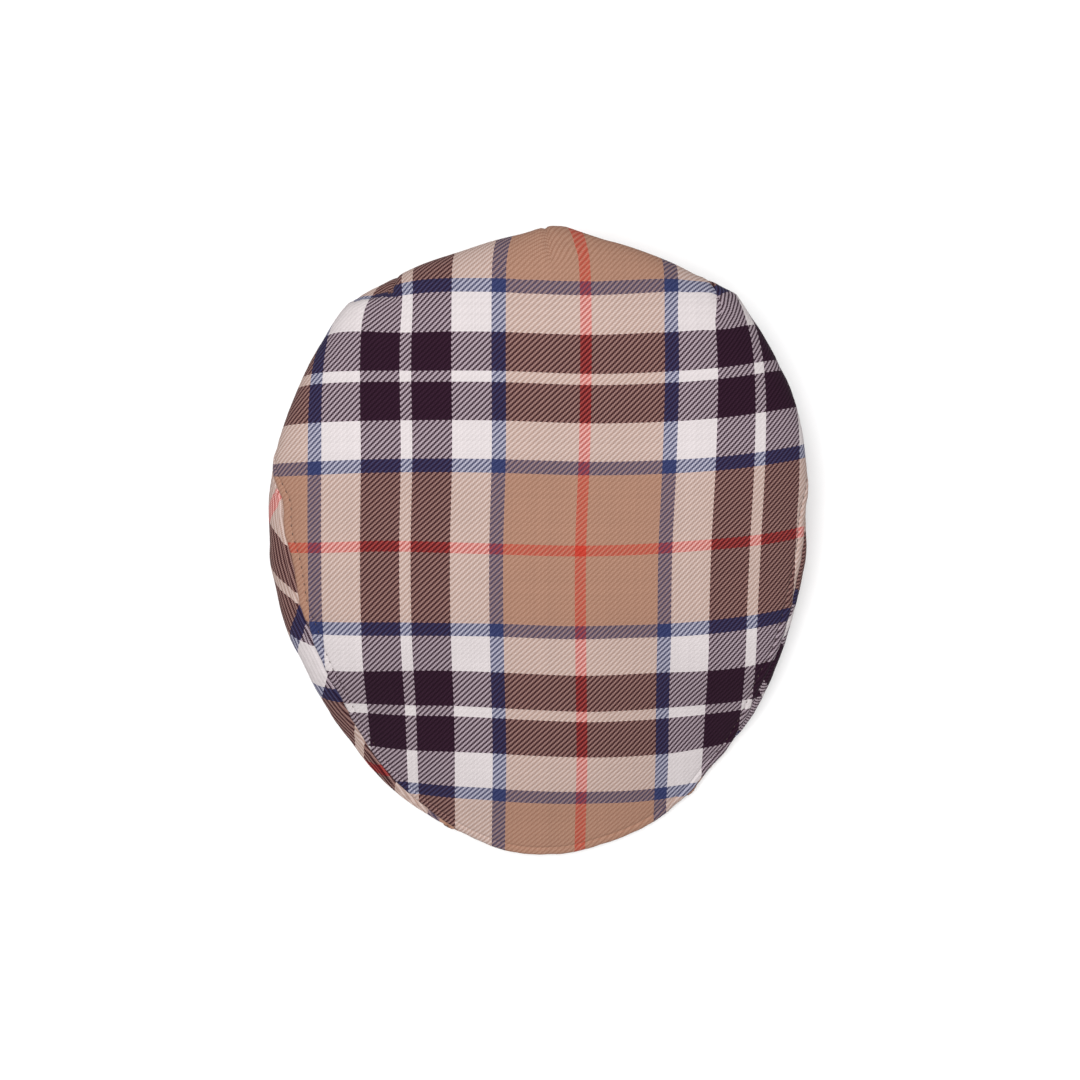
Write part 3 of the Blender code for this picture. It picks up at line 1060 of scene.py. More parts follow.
    def shaped(self, found: Array, angle: Array, q: Array) -> Array:
        """Adds the outline's corners and the darts' soft hollows to points of the plain crown.

        Args:
            found: The points.
            angle: Their angles.
            q: Their places down the crown.

        Returns:
            The moved points.
        """
        way = bearing(angle)
        fades, gone = self.corner_fades
        near_outline = bell(q - 1.0, self.corner_depth) * smoothstep(gone, fades, q)
        found = found + way * (self.corner_reach(angle) * near_outline)[:, None]
        for dart in self.darts:
            away = np.radians(dart.off(angle, q)) * self.outline_reach(angle)
            felt = smoothstep(dart.start, 1.0, q) * smoothstep(dart.hollow_ends, 1.0, q)
            slope = np.clip((q - dart.start) / (1.0 - dart.start), 0.0, 1.0) * math.pi / 2
            outward = way * np.sin(slope)[:, None]
            outward[:, 2] += np.cos(slope)
            found = found + outward * (dart.hollow.at(away) * felt)[:, None]
        return found


# Sheets of cloth

@dataclass(frozen=True)
class BakeLayout:
    """Where a sheet's faces go on the square map for baking.

    The two sides share out the square, less its borders: the outer one has the left part, up to split, and
    the inner one the rest. Both keep inset from the border. The rounded edge is a strip of its own, from
    strip_place, strip_size wide and high.
    """

    share: float = 0.96
    split: float = 0.76
    inset: float = 0.01
    strip_place: tuple[float, float] = (0.01, 0.985)
    strip_size: tuple[float, float] = (0.98, 0.008)

    def laid(self, flat: Array, round_edge: int, down_edge: int) -> list[Array]:
        """Lays out the faces.

        Args:
            flat: The flat corners of one side's faces.
            round_edge: The number of faces round the edge.
            down_edge: The number of faces from the outer side to the inner one.

        Returns:
            The corners of the outer faces, the inner ones and those of the edge.
        """
        low, high = flat.reshape(-1, 2).min(axis=0), flat.reshape(-1, 2).max(axis=0)
        width, height = high - low
        outer = self.share * min(self.split / width, 1.0 / height)
        inner = self.share * min((1.0 - self.split) / width, 1.0 / height)
        place = (self.split + self.inset, self.inset)
        along = np.tile(np.arange(round_edge), down_edge)
        down = np.repeat(np.arange(down_edge), round_edge)
        corners = np.stack([along, down], axis=1)[:, None, :] + np.array([[0, 0], [1, 0], [1, 1], [0, 1]])
        strip = corners / (round_edge, down_edge) * self.strip_size + self.strip_place
        return [(flat - low) * outer + self.inset, (flat[:, ::-1] - low) * inner + place, strip]


@dataclass
class Cloth:
    """A sheet of cloth under construction: its outer points and the grids of point numbers that cover it.

    rim is the loop of its edge and cuts are the lines of points where darts part it. guide is a rough flat
    pattern of the points, which places the fine points between those, a stride apart, that are flattened.
    The rounded edge has arc rows of faces. bulge is how far it stands out, in shares of half the thickness,
    and wrap how much cloth goes round it, in shares of a half circle. passes counts the flattening's rounds.
    """

    name: str
    points: Array
    grids: list[Array]
    rim: Array
    thickness: Array
    guide: Array | None = None
    cuts: list[Array] = field(default_factory=list)
    stride: int = 4
    arc: int = 4
    bulge: float = 1.0
    wrap: float = 1.0
    passes: int = 40
    flat: list[Array] = field(default_factory=list)

    def faces(self) -> Array:
        """Gives the corners of the outer faces."""
        return np.concatenate([quads(grid) for grid in self.grids])

    def normals(self) -> Array:
        """Gives the outward direction at each point.

        Returns:
            The directions.
        """
        faces = self.faces()
        first, second, third, fourth = (self.points[faces[:, corner]] for corner in range(4))
        across = np.cross(third - first, fourth - second)
        total = np.zeros_like(self.points)
        for corner in range(4):
            np.add.at(total, faces[:, corner], across)
        return unit(total)

    def unwrapped(self, faces: Array) -> Array:
        """Has Blender flatten faces with the least stretch, parted along the cuts.

        Args:
            faces: The faces' corners.

        Returns:
            The flat corners, in no particular unit.
        """
        used, numbers = np.unique(faces, return_inverse=True)
        table = meshed("flattening", self.points[used].tolist(), numbers.reshape(-1, 4).tolist())
        mesh = table.data
        cut_pairs = {
            tuple(sorted(pair)) for cut in self.cuts
            for pair in zip(np.searchsorted(used, cut[:-1]).tolist(), np.searchsorted(used, cut[1:]).tolist())
        }
        for edge in mesh.edges:
            edge.use_seam = tuple(sorted(edge.vertices)) in cut_pairs
        mesh.uv_layers.new(name="flat")
        bpy.ops.object.select_all(action="DESELECT")
        bpy.context.view_layer.objects.active = table
        table.select_set(True)
        bpy.ops.object.mode_set(mode="EDIT")
        bpy.ops.mesh.select_all(action="SELECT")
        bpy.ops.uv.unwrap(
            method="MINIMUM_STRETCH", iterations=self.passes, fill_holes=False, correct_aspect=False,
            margin=0.0,
        )
        bpy.ops.object.mode_set(mode="OBJECT")
        flat = np.zeros(len(mesh.loops) * 2)
        mesh.uv_layers["flat"].data.foreach_get("uv", flat)
        bpy.data.objects.remove(table, do_unlink=True)
        bpy.data.meshes.remove(mesh)
        return flat.reshape(-1, 4, 2)

    def flatten(self, turn: float, held: int, place: tuple[float, float]) -> None:
        """Lays the sheet flat, in metres, with each grid's corners in the same order as its faces.

        Args:
            turn: How far the flat sheet is turned, in degrees, once the grid's own line is level.
            held: The number of the point that is put in place.
            place: Where that point goes.
        """
        coarse = [grid[::self.stride, ::self.stride] for grid in self.grids]
        faces = np.concatenate([quads(grid) for grid in coarse])
        flat = self.unwrapped(faces)
        real = sides(self.points[faces])
        flat = flat * (np.median(real) / np.median(sides(flat)))
        sideways = (flat[:, 1] - flat[:, 0]).sum(axis=0)
        flat = turned(flat, turn - math.degrees(math.atan2(sideways[1], sideways[0])))
        stretch = np.median(np.abs(sides(flat) / real - 1.0))
        LOG.info("%s: flattened with a middling stretch of %.1f%%", self.name, 100.0 * stretch)
        self.flat = self.refined(flat, coarse)
        move = np.array(place) - np.concatenate(self.flat)[np.nonzero(self.faces() == held)][0]
        self.flat = [part + move for part in self.flat]

    def refined(self, flat: Array, coarse: list[Array]) -> list[Array]:
        """Spreads the coarse faces' flat corners over the fine faces.

        Args:
            flat: The flat corners of all coarse faces.
            coarse: The coarse grids.

        Returns:
            The flat corners of the fine faces, for each grid.
        """
        share = np.arange(self.stride + 1) / self.stride
        down, across = share[:, None, None], share[None, :, None]
        guide = np.zeros((len(self.points), 2)) if self.guide is None else self.guide
        made = []
        start = 0
        for grid, fine_grid in zip(coarse, self.grids):
            rows, columns = grid.shape[0] - 1, grid.shape[1] - 1
            block = flat[start:start + rows * columns] - guide[quads(grid)]
            block = block.reshape(rows, columns, 1, 1, 4, 2)
            start += rows * columns
            at = (
                block[..., 0, :] * (1 - down) * (1 - across) + block[..., 1, :] * (1 - down) * across
                + block[..., 2, :] * down * across + block[..., 3, :] * down * (1 - across)
            )
            fine = [at[:, :, :-1, :-1], at[:, :, :-1, 1:], at[:, :, 1:, 1:], at[:, :, 1:, :-1]]
            fine = np.stack(fine, axis=4).transpose(0, 2, 1, 3, 4, 5).reshape(-1, 4, 2)
            made.append(fine + guide[quads(fine_grid)])
        return made

    def cut(self) -> tuple[tuple[float, float], float]:
        """Measures the flat sheet.

        Returns:
            The width and the length of the smallest rectangle that it is cut from, and its own area.
        """
        corners = np.concatenate(self.flat)
        first, second = corners[:, 2] - corners[:, 0], corners[:, 3] - corners[:, 1]
        area = 0.5 * np.abs(first[:, 0] * second[:, 1] - first[:, 1] * second[:, 0]).sum()
        places = corners.reshape(-1, 2)
        sizes = [np.sort(np.ptp(turned(places, turn), axis=0)) for turn in CUT_TURNS]
        width, length = min(sizes, key=lambda size: size[0] * size[1])
        return (float(width), float(length)), float(area)

    def shell(self) -> tuple[Array, Array]:
        """Gives the sheet its thickness, with a rounded edge.

        Returns:
            All points, and the faces: the outer ones, the inner ones, then those of the edge.
        """
        count = len(self.points)
        outer_faces = self.faces()
        normals = self.normals()
        inner = self.points - normals * self.thickness[:, None]
        rim = self.rim
        ahead = self.points[np.roll(rim, -1)] - self.points[np.roll(rim, 1)]
        away = unit(np.cross(normals[rim], ahead)) * (self.thickness[rim, None] / 2 * self.bulge)
        middle = (self.points[rim] + inner[rim]) / 2
        half = self.points[rim] - middle
        turns = math.pi * np.arange(1, self.arc) / self.arc
        arcs = [middle + half * math.cos(turn) + away * math.sin(turn) for turn in turns]
        between = np.arange(len(rim) * len(arcs)).reshape(len(arcs), -1) + 2 * count
        rows = np.concatenate([rim[None], between, rim[None] + count])
        edge_faces = quads(np.concatenate([rows, rows[:, :1]], axis=1))
        return (
            np.concatenate([self.points, inner, *arcs]),
            np.concatenate([outer_faces, outer_faces[:, ::-1] + count, edge_faces]),
        )

    def rim_flat(self) -> Array:
        """Continues the flat map over the rounded edge.

        Returns:
            The flat corners of the edge's faces.
        """
        faces, rim = self.faces(), self.rim
        flat = np.concatenate(self.flat)
        count = len(self.points)
        keys = (np.roll(faces, -1, axis=1) * count + faces).reshape(-1)
        order = np.argsort(keys)
        found = order[np.searchsorted(keys[order], rim * count + np.roll(rim, -1))]
        start = np.roll(flat, -1, axis=1).reshape(-1, 2)[found]
        end = flat.reshape(-1, 2)[found]
        ahead = unit(end - start)
        away = np.stack([-ahead[:, 1], ahead[:, 0]], axis=1)
        first = unit(away + np.roll(away, 1, axis=0))
        second = np.roll(first, -1, axis=0)
        width = self.thickness[rim, None] * (math.pi / 2 * self.wrap / self.arc)
        rows = []
        for step in range(self.arc):
            near, far = width * step, width * (step + 1)
            corners = [start + first * near, end + second * near, end + second * far, start + first * far]
            rows.append(np.stack(corners, axis=1))
        return np.concatenate(rows)

    def sewn(self, material: bpy.types.Material) -> bpy.types.Object:
        """Makes the piece.

        Args:
            material: Its material, which reads the map named cloth.

        Returns:
            The piece, a closed sheet with the map named cloth in metres and one for baking.
        """
        points, faces = self.shell()
        flat = np.concatenate(self.flat)
        piece = meshed(self.name, points.tolist(), faces.tolist())
        mesh = piece.data
        maps = {
            "cloth": [flat, flat[:, ::-1], self.rim_flat()],
            "OFBake": BakeLayout().laid(flat, len(self.rim), self.arc),
        }
        for name, parts in maps.items():
            layer = mesh.uv_layers.new(name=name)
            layer.data.foreach_set("uv", np.concatenate(parts).reshape(-1).astype(np.float32))
        mesh.shade_smooth()
        mesh.materials.append(material)
        LOG.info("%s: %d faces", self.name, len(faces))
        return piece


# The panels

@dataclass(frozen=True)
class Drape:
    """How far the stretching has drawn the cloth, in yarns, at places one step apart.

    Rows run from the back to the front and columns from left to right. across and along are added to the
    numbers of the warp and weft yarns that the plain flattening gives.
    """

    step: float
    left: float
    back: float
    across: tuple[tuple[float, ...], ...]
    along: tuple[tuple[float, ...], ...]

    def drawn(self, yarns: Array) -> Array:
        """Moves places on the cloth.

        Args:
            yarns: The places, counted in yarns.

        Returns:
            The moved places.
        """
        table = np.stack([np.array(self.across), np.array(self.along)], axis=-1)
        rows, columns = table.shape[0] - 1, table.shape[1] - 1
        for _ in range(2):
            table = np.concatenate([2 * table[:1] - table[1:2], table, 2 * table[-1:] - table[-2:-1]])
            table = table.transpose(1, 0, 2)
        over = np.clip((yarns[..., 0] - self.left) / self.step, 0.0, columns)
        down = np.clip((self.back - yarns[..., 1]) / self.step, 0.0, rows)
        column = np.minimum(over.astype(int), columns - 1)
        row = np.minimum(down.astype(int), rows - 1)
        return yarns + sum(
            (high * wide)[..., None] * table[row + i, column + j]
            for i, high in enumerate(spline_weights(down - row))
            for j, wide in enumerate(spline_weights(over - column))
        )


@dataclass(frozen=True)
class Weave:
    """Where a panel's marked point lies on the cloth, in yarns, how the panel is turned and how drawn."""

    grain: Grain
    across: float
    along: float
    drape: Drape | None = None

    def laid(self, cloth: Cloth, mark: int, pitch: float) -> None:
        """Lays a panel on the cloth.

        Args:
            cloth: The panel's sheet.
            mark: The number of its marked point.
            pitch: The yarns' pitch in metres.
        """
        cloth.flatten(self.grain.value, mark, (self.across * pitch, self.along * pitch))
        if self.drape:
            cloth.flat = [self.drape.drawn(part / pitch) * pitch for part in cloth.flat]


TOP_WEAVE = Weave(Grain.STRAIGHT, -31.6, 1.0, Drape(
    step=80.0, left=-225.0, back=240.0,
    across=(
        (1.0, 2.5, 1.0, -0.5, -1.0, 0.0),
        (-1.0, 0.5, -0.5, -1.0, -0.5, 2.0),
        (0.0, -1.5, -1.5, -0.5, 0.5, 0.5),
        (3.5, 1.5, 0.5, 1.0, 0.5, -1.5),
        (5.5, 2.0, 0.0, -1.0, -1.5, -2.0),
        (7.0, 2.0, -2.0, -3.5, -5.0, -5.0),
        (8.0, 3.0, -1.0, -4.0, -7.0, -9.0),
    ),
    along=(
        (2.5, -2.0, -2.5, -2.0, -5.0, -8.5),
        (4.5, 0.0, -1.5, 0.0, -4.5, -12.0),
        (2.5, -2.0, -3.5, -2.0, -5.5, -14.5),
        (0.5, -4.5, -3.0, -2.5, -7.0, -14.0),
        (3.5, -0.5, -1.0, 0.5, -2.5, -10.0),
        (12.0, 9.0, 2.5, 5.5, 8.0, 1.0),
        (19.5, 14.0, 9.5, 11.0, 14.5, 15.0),
    ),
))
LEFT_WEAVE = Weave(Grain.LEFT_SIDE, 79.9, -6.7, Drape(
    step=40.0, left=60.0, back=20.0,
    across=((3.8, 3.6, 4.6, -2.9, -11.4, -12.6),) * 2,
    along=((4.2, -5.4, -7.7, -4.0, 4.9, 7.6),) * 2,
))
RIGHT_WEAVE = Weave(Grain.RIGHT_SIDE, 167.3, -5.6)


@dataclass
class TopPanel:
    """The one-piece top of the crown.

    Its grid is a block of squares with rounded sides, out to block_share of the way to the seam, and rings
    round it, the last of them as far from the edge as near_rows says. The spokes across the rings crowd at
    the darts, and one runs down each dart: they bend towards its line over bend_starts, in q before its
    point. Two rings bound the tuck. tuck_rings is how far off, in metres, other rings follow, and tuck_width
    how far off, in degrees and in rings, this fades. least_outwards keeps spokes that run beside the tuck
    from meeting it far away.

    fold is what the turned-in edge adds to the cloth, as far in as fold_ends. The edge stands up by
    edge_rise, as far in as edge_rise_falls, and the stitch_line is drawn in. puckers are the small waves that
    the seam makes, felt over pucker_reach, and drift the wide ones over all of the panel, each with its
    direction.
    """

    crown: Crown
    finish: TartanFinish
    weave: Weave = TOP_WEAVE
    block: int = 112
    block_share: float = 0.46
    square: float = 0.5
    rings: int = 52
    ring_crowding: float = 0.93
    near_rows: tuple[float, ...] = (
        0.0, 0.00035, 0.0008, 0.0013, 0.0018, 0.0022, 0.0025, 0.0028, 0.0031, 0.0034, 0.0038, 0.0045, 0.0055,
    )
    crowding: float = 0.62
    crowd_width: float = 3.0
    shift_width: float = 7.0
    shift_passes: int = 4
    bend_width: float = 10.0
    bend_starts: tuple[float, float] = (0.35, 0.05)
    tuck_rings: float = 0.009
    tuck_width: float = 3.0
    least_outwards: float = 0.1
    tuck_step: float = 1.3
    cloth: float = 0.0017
    edge: float = 0.0008
    fold: float = 0.0007
    fold_ends: tuple[float, float] = (0.0025, 0.0040)
    edge_rise: float = 0.00040
    edge_rise_falls: float = 0.0014
    stitch_line: Ridge = Ridge(0.0028, -0.00030, 0.0006)
    round_reach: float = 0.125
    pucker_reach: float = 0.005
    puckers: tuple[Wave, ...] = (
        Wave(0.0071, 0.00009, 0.4), Wave(0.0113, 0.000072, 2.1), Wave(0.0197, 0.000081, 4.0),
    )
    drift: tuple[tuple[tuple[float, float], tuple[Wave, ...]], ...] = (
        ((1.0, 0.4), (Wave(0.083, 0.00025, 0.3), Wave(0.047, 0.0001, 1.2))),
        ((-0.3, 1.0), (Wave(0.071, 0.000225, 2.3), Wave(0.039, 0.000075, 0.2))),
    )

    def make(self) -> Cloth:
        """Lays out the panel.

        Returns:
            The panel's sheet, flattened.
        """
        crown = self.crown
        angle, share, block = self.core()
        sides_round = np.concatenate([block[:-1, 0], block[-1, :-1], block[:0:-1, -1], block[0, :0:-1]])
        angle = self.shifted(angle, self.dart_shift(angle[sides_round]))
        spokes = angle[sides_round]
        distance = share * self.block_share * (crown.seam_distance(angle) - self.edge)
        ring_distance = self.ring_distance(spokes, distance[sides_round])
        numbers = np.arange(ring_distance.size).reshape(ring_distance.shape) + len(angle)
        ring = np.concatenate([sides_round[None], numbers])
        ring = np.concatenate([ring, ring[:, :1]], axis=1)

        angle = np.concatenate([angle, self.along_darts(ring_distance, spokes).reshape(-1)])
        distance = np.concatenate([distance, ring_distance.reshape(-1)])
        points, q = crown.points(angle, distance)
        from_edge = crown.seam_distance(angle) - self.edge - distance
        whole, ends = self.fold_ends
        thickness = self.cloth + self.fold * smoothstep(ends, whole, from_edge)
        cloth = Cloth("top_panel", points, [block, ring], ring[-1, :-1], thickness)
        cloth.guide = bearing(angle)[:, :2] * distance[:, None]
        for dart in crown.darts:
            column = int(np.argmin(np.abs(folded(spokes - dart.angle))))
            start = int(np.argmin(np.abs(q[ring[:, column]] - dart.start)))
            cloth.cuts.append(ring[start - start % cloth.stride::cloth.stride, column])
        cloth.points = points + cloth.normals() * self.relief(angle, q, from_edge, points)[:, None]
        cloth.points[:, 2] -= self.step(angle, q, points)
        self.weave.laid(cloth, block[self.block // 2, self.block // 2], self.finish.pitch)
        cloth.flat = [flat + self.sewn_in(quads(grid), points, angle, q)
                      for flat, grid in zip(cloth.flat, cloth.grids)]
        return cloth

    def core(self) -> tuple[Array, Array, Array]:
        """Lays out the block in the middle.

        Returns:
            The angle of each of its points, its distance from the middle, which is 1 at the middle of a side,
            and the grid of point numbers.
        """
        spots = np.linspace(-1.0, 1.0, self.block + 1)
        b, a = np.meshgrid(spots, spots, indexing="ij")
        disc = np.stack([a * np.sqrt(1.0 - b * b / 2.0), b * np.sqrt(1.0 - a * a / 2.0)])
        x, y = disc + (np.stack([a, b]) - disc) * self.square
        angle, share = np.degrees(np.arctan2(x, -y)), np.hypot(x, y)
        return angle.reshape(-1), share.reshape(-1), np.arange(a.size).reshape(a.shape)

    def shifted(self, angle: Array, shift: Array) -> Array:
        """Makes angles crowd at the darts, then moves those near each dart by its shift.

        Args:
            angle: The angles.
            shift: How far the spoke nearest each dart has to move.

        Returns:
            The moved angles.
        """
        moved = angle.copy()
        spread = self.crowd_width ** 2
        for dart in self.crown.darts:
            away = folded(angle - dart.angle)
            moved -= self.crowding * away * spread / (away * away + spread)
        for move, dart in zip(shift, self.crown.darts):
            moved = moved + move * bell(folded(moved - dart.angle), self.shift_width)
        return moved

    def dart_shift(self, spokes: Array) -> Array:
        """Finds how far spokes have to move so that one that is flattened meets each dart.

        Args:
            spokes: The angles of the grid's own spokes.

        Returns:
            The shift for each dart.
        """
        shift = np.zeros(len(self.crown.darts))
        flattened = spokes[::Cloth.stride]
        for _ in range(self.shift_passes):
            for number, dart in enumerate(self.crown.darts):
                moved = self.shifted(flattened, shift)
                nearest = np.argmin(np.abs(folded(flattened - dart.angle)))
                shift[number] += folded(dart.angle - moved[nearest])
        return shift

    def ring_distance(self, spokes: Array, inner: Array) -> Array:
        """Spaces the rings round the block.

        Args:
            spokes: The angles of the spokes.
            inner: The distance of the block's border on each.

        Returns:
            The distance of each ring down the crown, on each spoke.
        """
        near = np.array(self.near_rows)
        seam = self.crown.seam_distance(spokes) - self.edge
        steps = np.linspace(0.0, 1.0, self.rings - len(near) + 2)[1:-1, None] ** self.ring_crowding
        rows = [inner + (seam - near[-1] - inner) * steps, seam - near[::-1, None]]
        return self.along_tuck(np.concatenate(rows), spokes)

    def along_darts(self, distance: Array, spokes: Array) -> Array:
        """Bends the grid's spokes so that one runs down each dart.

        Args:
            distance: The rings' distances down the crown.
            spokes: The angles of the spokes where they cross the outline.

        Returns:
            The angle of each point of the rings.
        """
        q = distance / self.crown.lengths(spokes)[0]
        angle = np.tile(spokes, (len(distance), 1))
        far, close = self.bend_starts
        for dart in self.crown.darts:
            bend = dart.lean * (1.0 - np.clip(q, dart.start, 1.0))
            bend = bend * smoothstep(dart.start - far, dart.start - close, q)
            angle = angle + bend * bell(folded(spokes - dart.angle), self.bend_width)
        return angle

    def along_tuck(self, distance: Array, spokes: Array) -> Array:
        """Moves the grid's rings so that two of them bound the tuck's step.

        Args:
            distance: The rings' distances down the crown.
            spokes: The angles of the spokes where they cross the outline.

        Returns:
            The moved distances.
        """
        tuck = self.crown.tuck
        first, last = (math.degrees(math.atan2(x, -y)) for x, y in (tuck.end, tuck.start))
        along = folded(spokes - first) / (last - first)
        inside = (along >= 0.0) & (along <= 1.0)
        lines = self.crown.upper_lines(spokes)
        reach = np.hypot(lines[..., 0], lines[..., 1])
        back = tuck.back()
        outwards = np.maximum(bearing(spokes)[:, :2] @ back, self.least_outwards)
        wanted = np.clip(np.array(tuck.start) @ back / outwards, 0.0, None)
        target = np.array([
            np.interp(want, one, mark) for want, one, mark in zip(wanted, reach, self.crown.marks(lines))
        ])
        order = np.argsort(along[inside])
        target = np.interp(np.clip(along, 0.0, 1.0), along[inside][order], target[inside][order])
        row = int(np.argmin(np.abs(distance[:, inside] - target[inside]).mean(axis=1)))
        outside = np.maximum(-along, along - 1.0).clip(0.0) * abs(last - first)
        weight = bell(outside, self.tuck_width)
        moved = distance + weight * (target - distance[row]) * bell(distance - distance[row], self.tuck_rings)
        close = (moved[row + 1] - moved[row] - self.tuck_step * tuck.width) * weight
        after = np.arange(len(distance))[:, None] - row - 1
        return moved - close * bell(after, self.tuck_width) * (after >= 0)

    def sewn_in(self, faces: Array, points: Array, angle: Array, q: Array) -> Array:
        """Gives how far the darts and the tuck have drawn the cloth at the corners of faces.

        Args:
            faces: The faces' corners.
            points: The plain crown's points.
            angle: Their angles.
            q: Their places down the crown.

        Returns:
            What is added to the flat corners, in metres.
        """
        crown = self.crown
        drawn = np.zeros((*faces.shape, 2))
        for number, dart in enumerate(crown.darts):
            angles = np.array([dart.angle + dart.lean * (1.0 - dart.start), dart.angle])
            outline = crown.lengths(angles[1:])[0]
            (tip, foot), _ = crown.points(angles, outline * np.array([dart.start, 1.0]))
            ahead = unit((foot - tip)[:2])
            right = np.array([ahead[1], -ahead[0]])
            off = dart.off(angle, q)[faces].mean(axis=1)
            place = points[faces][..., :2] - tip[:2]
            aside, along = place @ right, place @ ahead
            turn = np.radians(dart.swing) * np.where(off > 0.0, -1.0, 1.0)[:, None]
            turn = turn * np.exp(-np.abs(aside) / dart.reach) * smoothstep(*dart.swing_starts, along)
            cos, sin = np.cos(turn) - 1.0, np.sin(turn)
            drawn += (aside * cos + along * sin)[..., None] * right
            drawn += (along * cos - aside * sin)[..., None] * ahead
            if number == crown.tuck.dart:
                beside = (off > 0.0) & (off < crown.tuck.spokes)
                hidden = crown.tuck.take * self.finish.pitch * crown.tuck.share(points[faces])
                drawn[..., 1] += hidden * beside[:, None]
        return drawn

    def relief(self, angle: Array, q: Array, from_edge: Array, points: Array) -> Array:
        """Gives how far the cloth stands out of the plain crown.

        Args:
            angle: The angle of each point.
            q: Its place down the crown.
            from_edge: Its distance from the panel's edge.
            points: The points.

        Returns:
            The height at each point.
        """
        round_edge = np.radians(angle) * self.round_reach
        raised = self.edge_rise * (1.0 - smoothstep(self.edge_rise_falls, self.stitch_line.away, from_edge))
        raised += self.stitch_line.at(from_edge)
        raised += ripple(round_edge, self.puckers) * np.exp(-from_edge / self.pucker_reach)
        for direction, waves in self.drift:
            raised += ripple(points[:, :2] @ np.array(direction), waves)
        for dart in self.crown.darts:
            raised += dart.relief(np.radians(dart.off(angle, q)) * self.crown.outline_reach(angle), q)
        return raised

    def step(self, angle: Array, q: Array, points: Array) -> Array:
        """Gives how far the cloth behind the tuck has dropped.

        Args:
            angle: The angle of each point.
            q: Its place down the crown.
            points: The points.

        Returns:
            The drop at each point.
        """
        tuck = self.crown.tuck
        away = np.radians(self.crown.darts[tuck.dart].off(angle, q)) * self.crown.outline_reach(angle)
        return tuck.fallen(points, away) * smoothstep(tuck.hangs, 1.0, q)

    def stitched(self, cloth: Cloth) -> Array:
        """Gives the points of the panel's sheet that its edge is stitched along."""
        return cloth.grids[-1][-1 - self.near_rows.index(self.stitch_line.away), :-1]


class Side(Enum):
    """A side of the cap, with the sign of its angles."""

    LEFT = -1
    RIGHT = 1


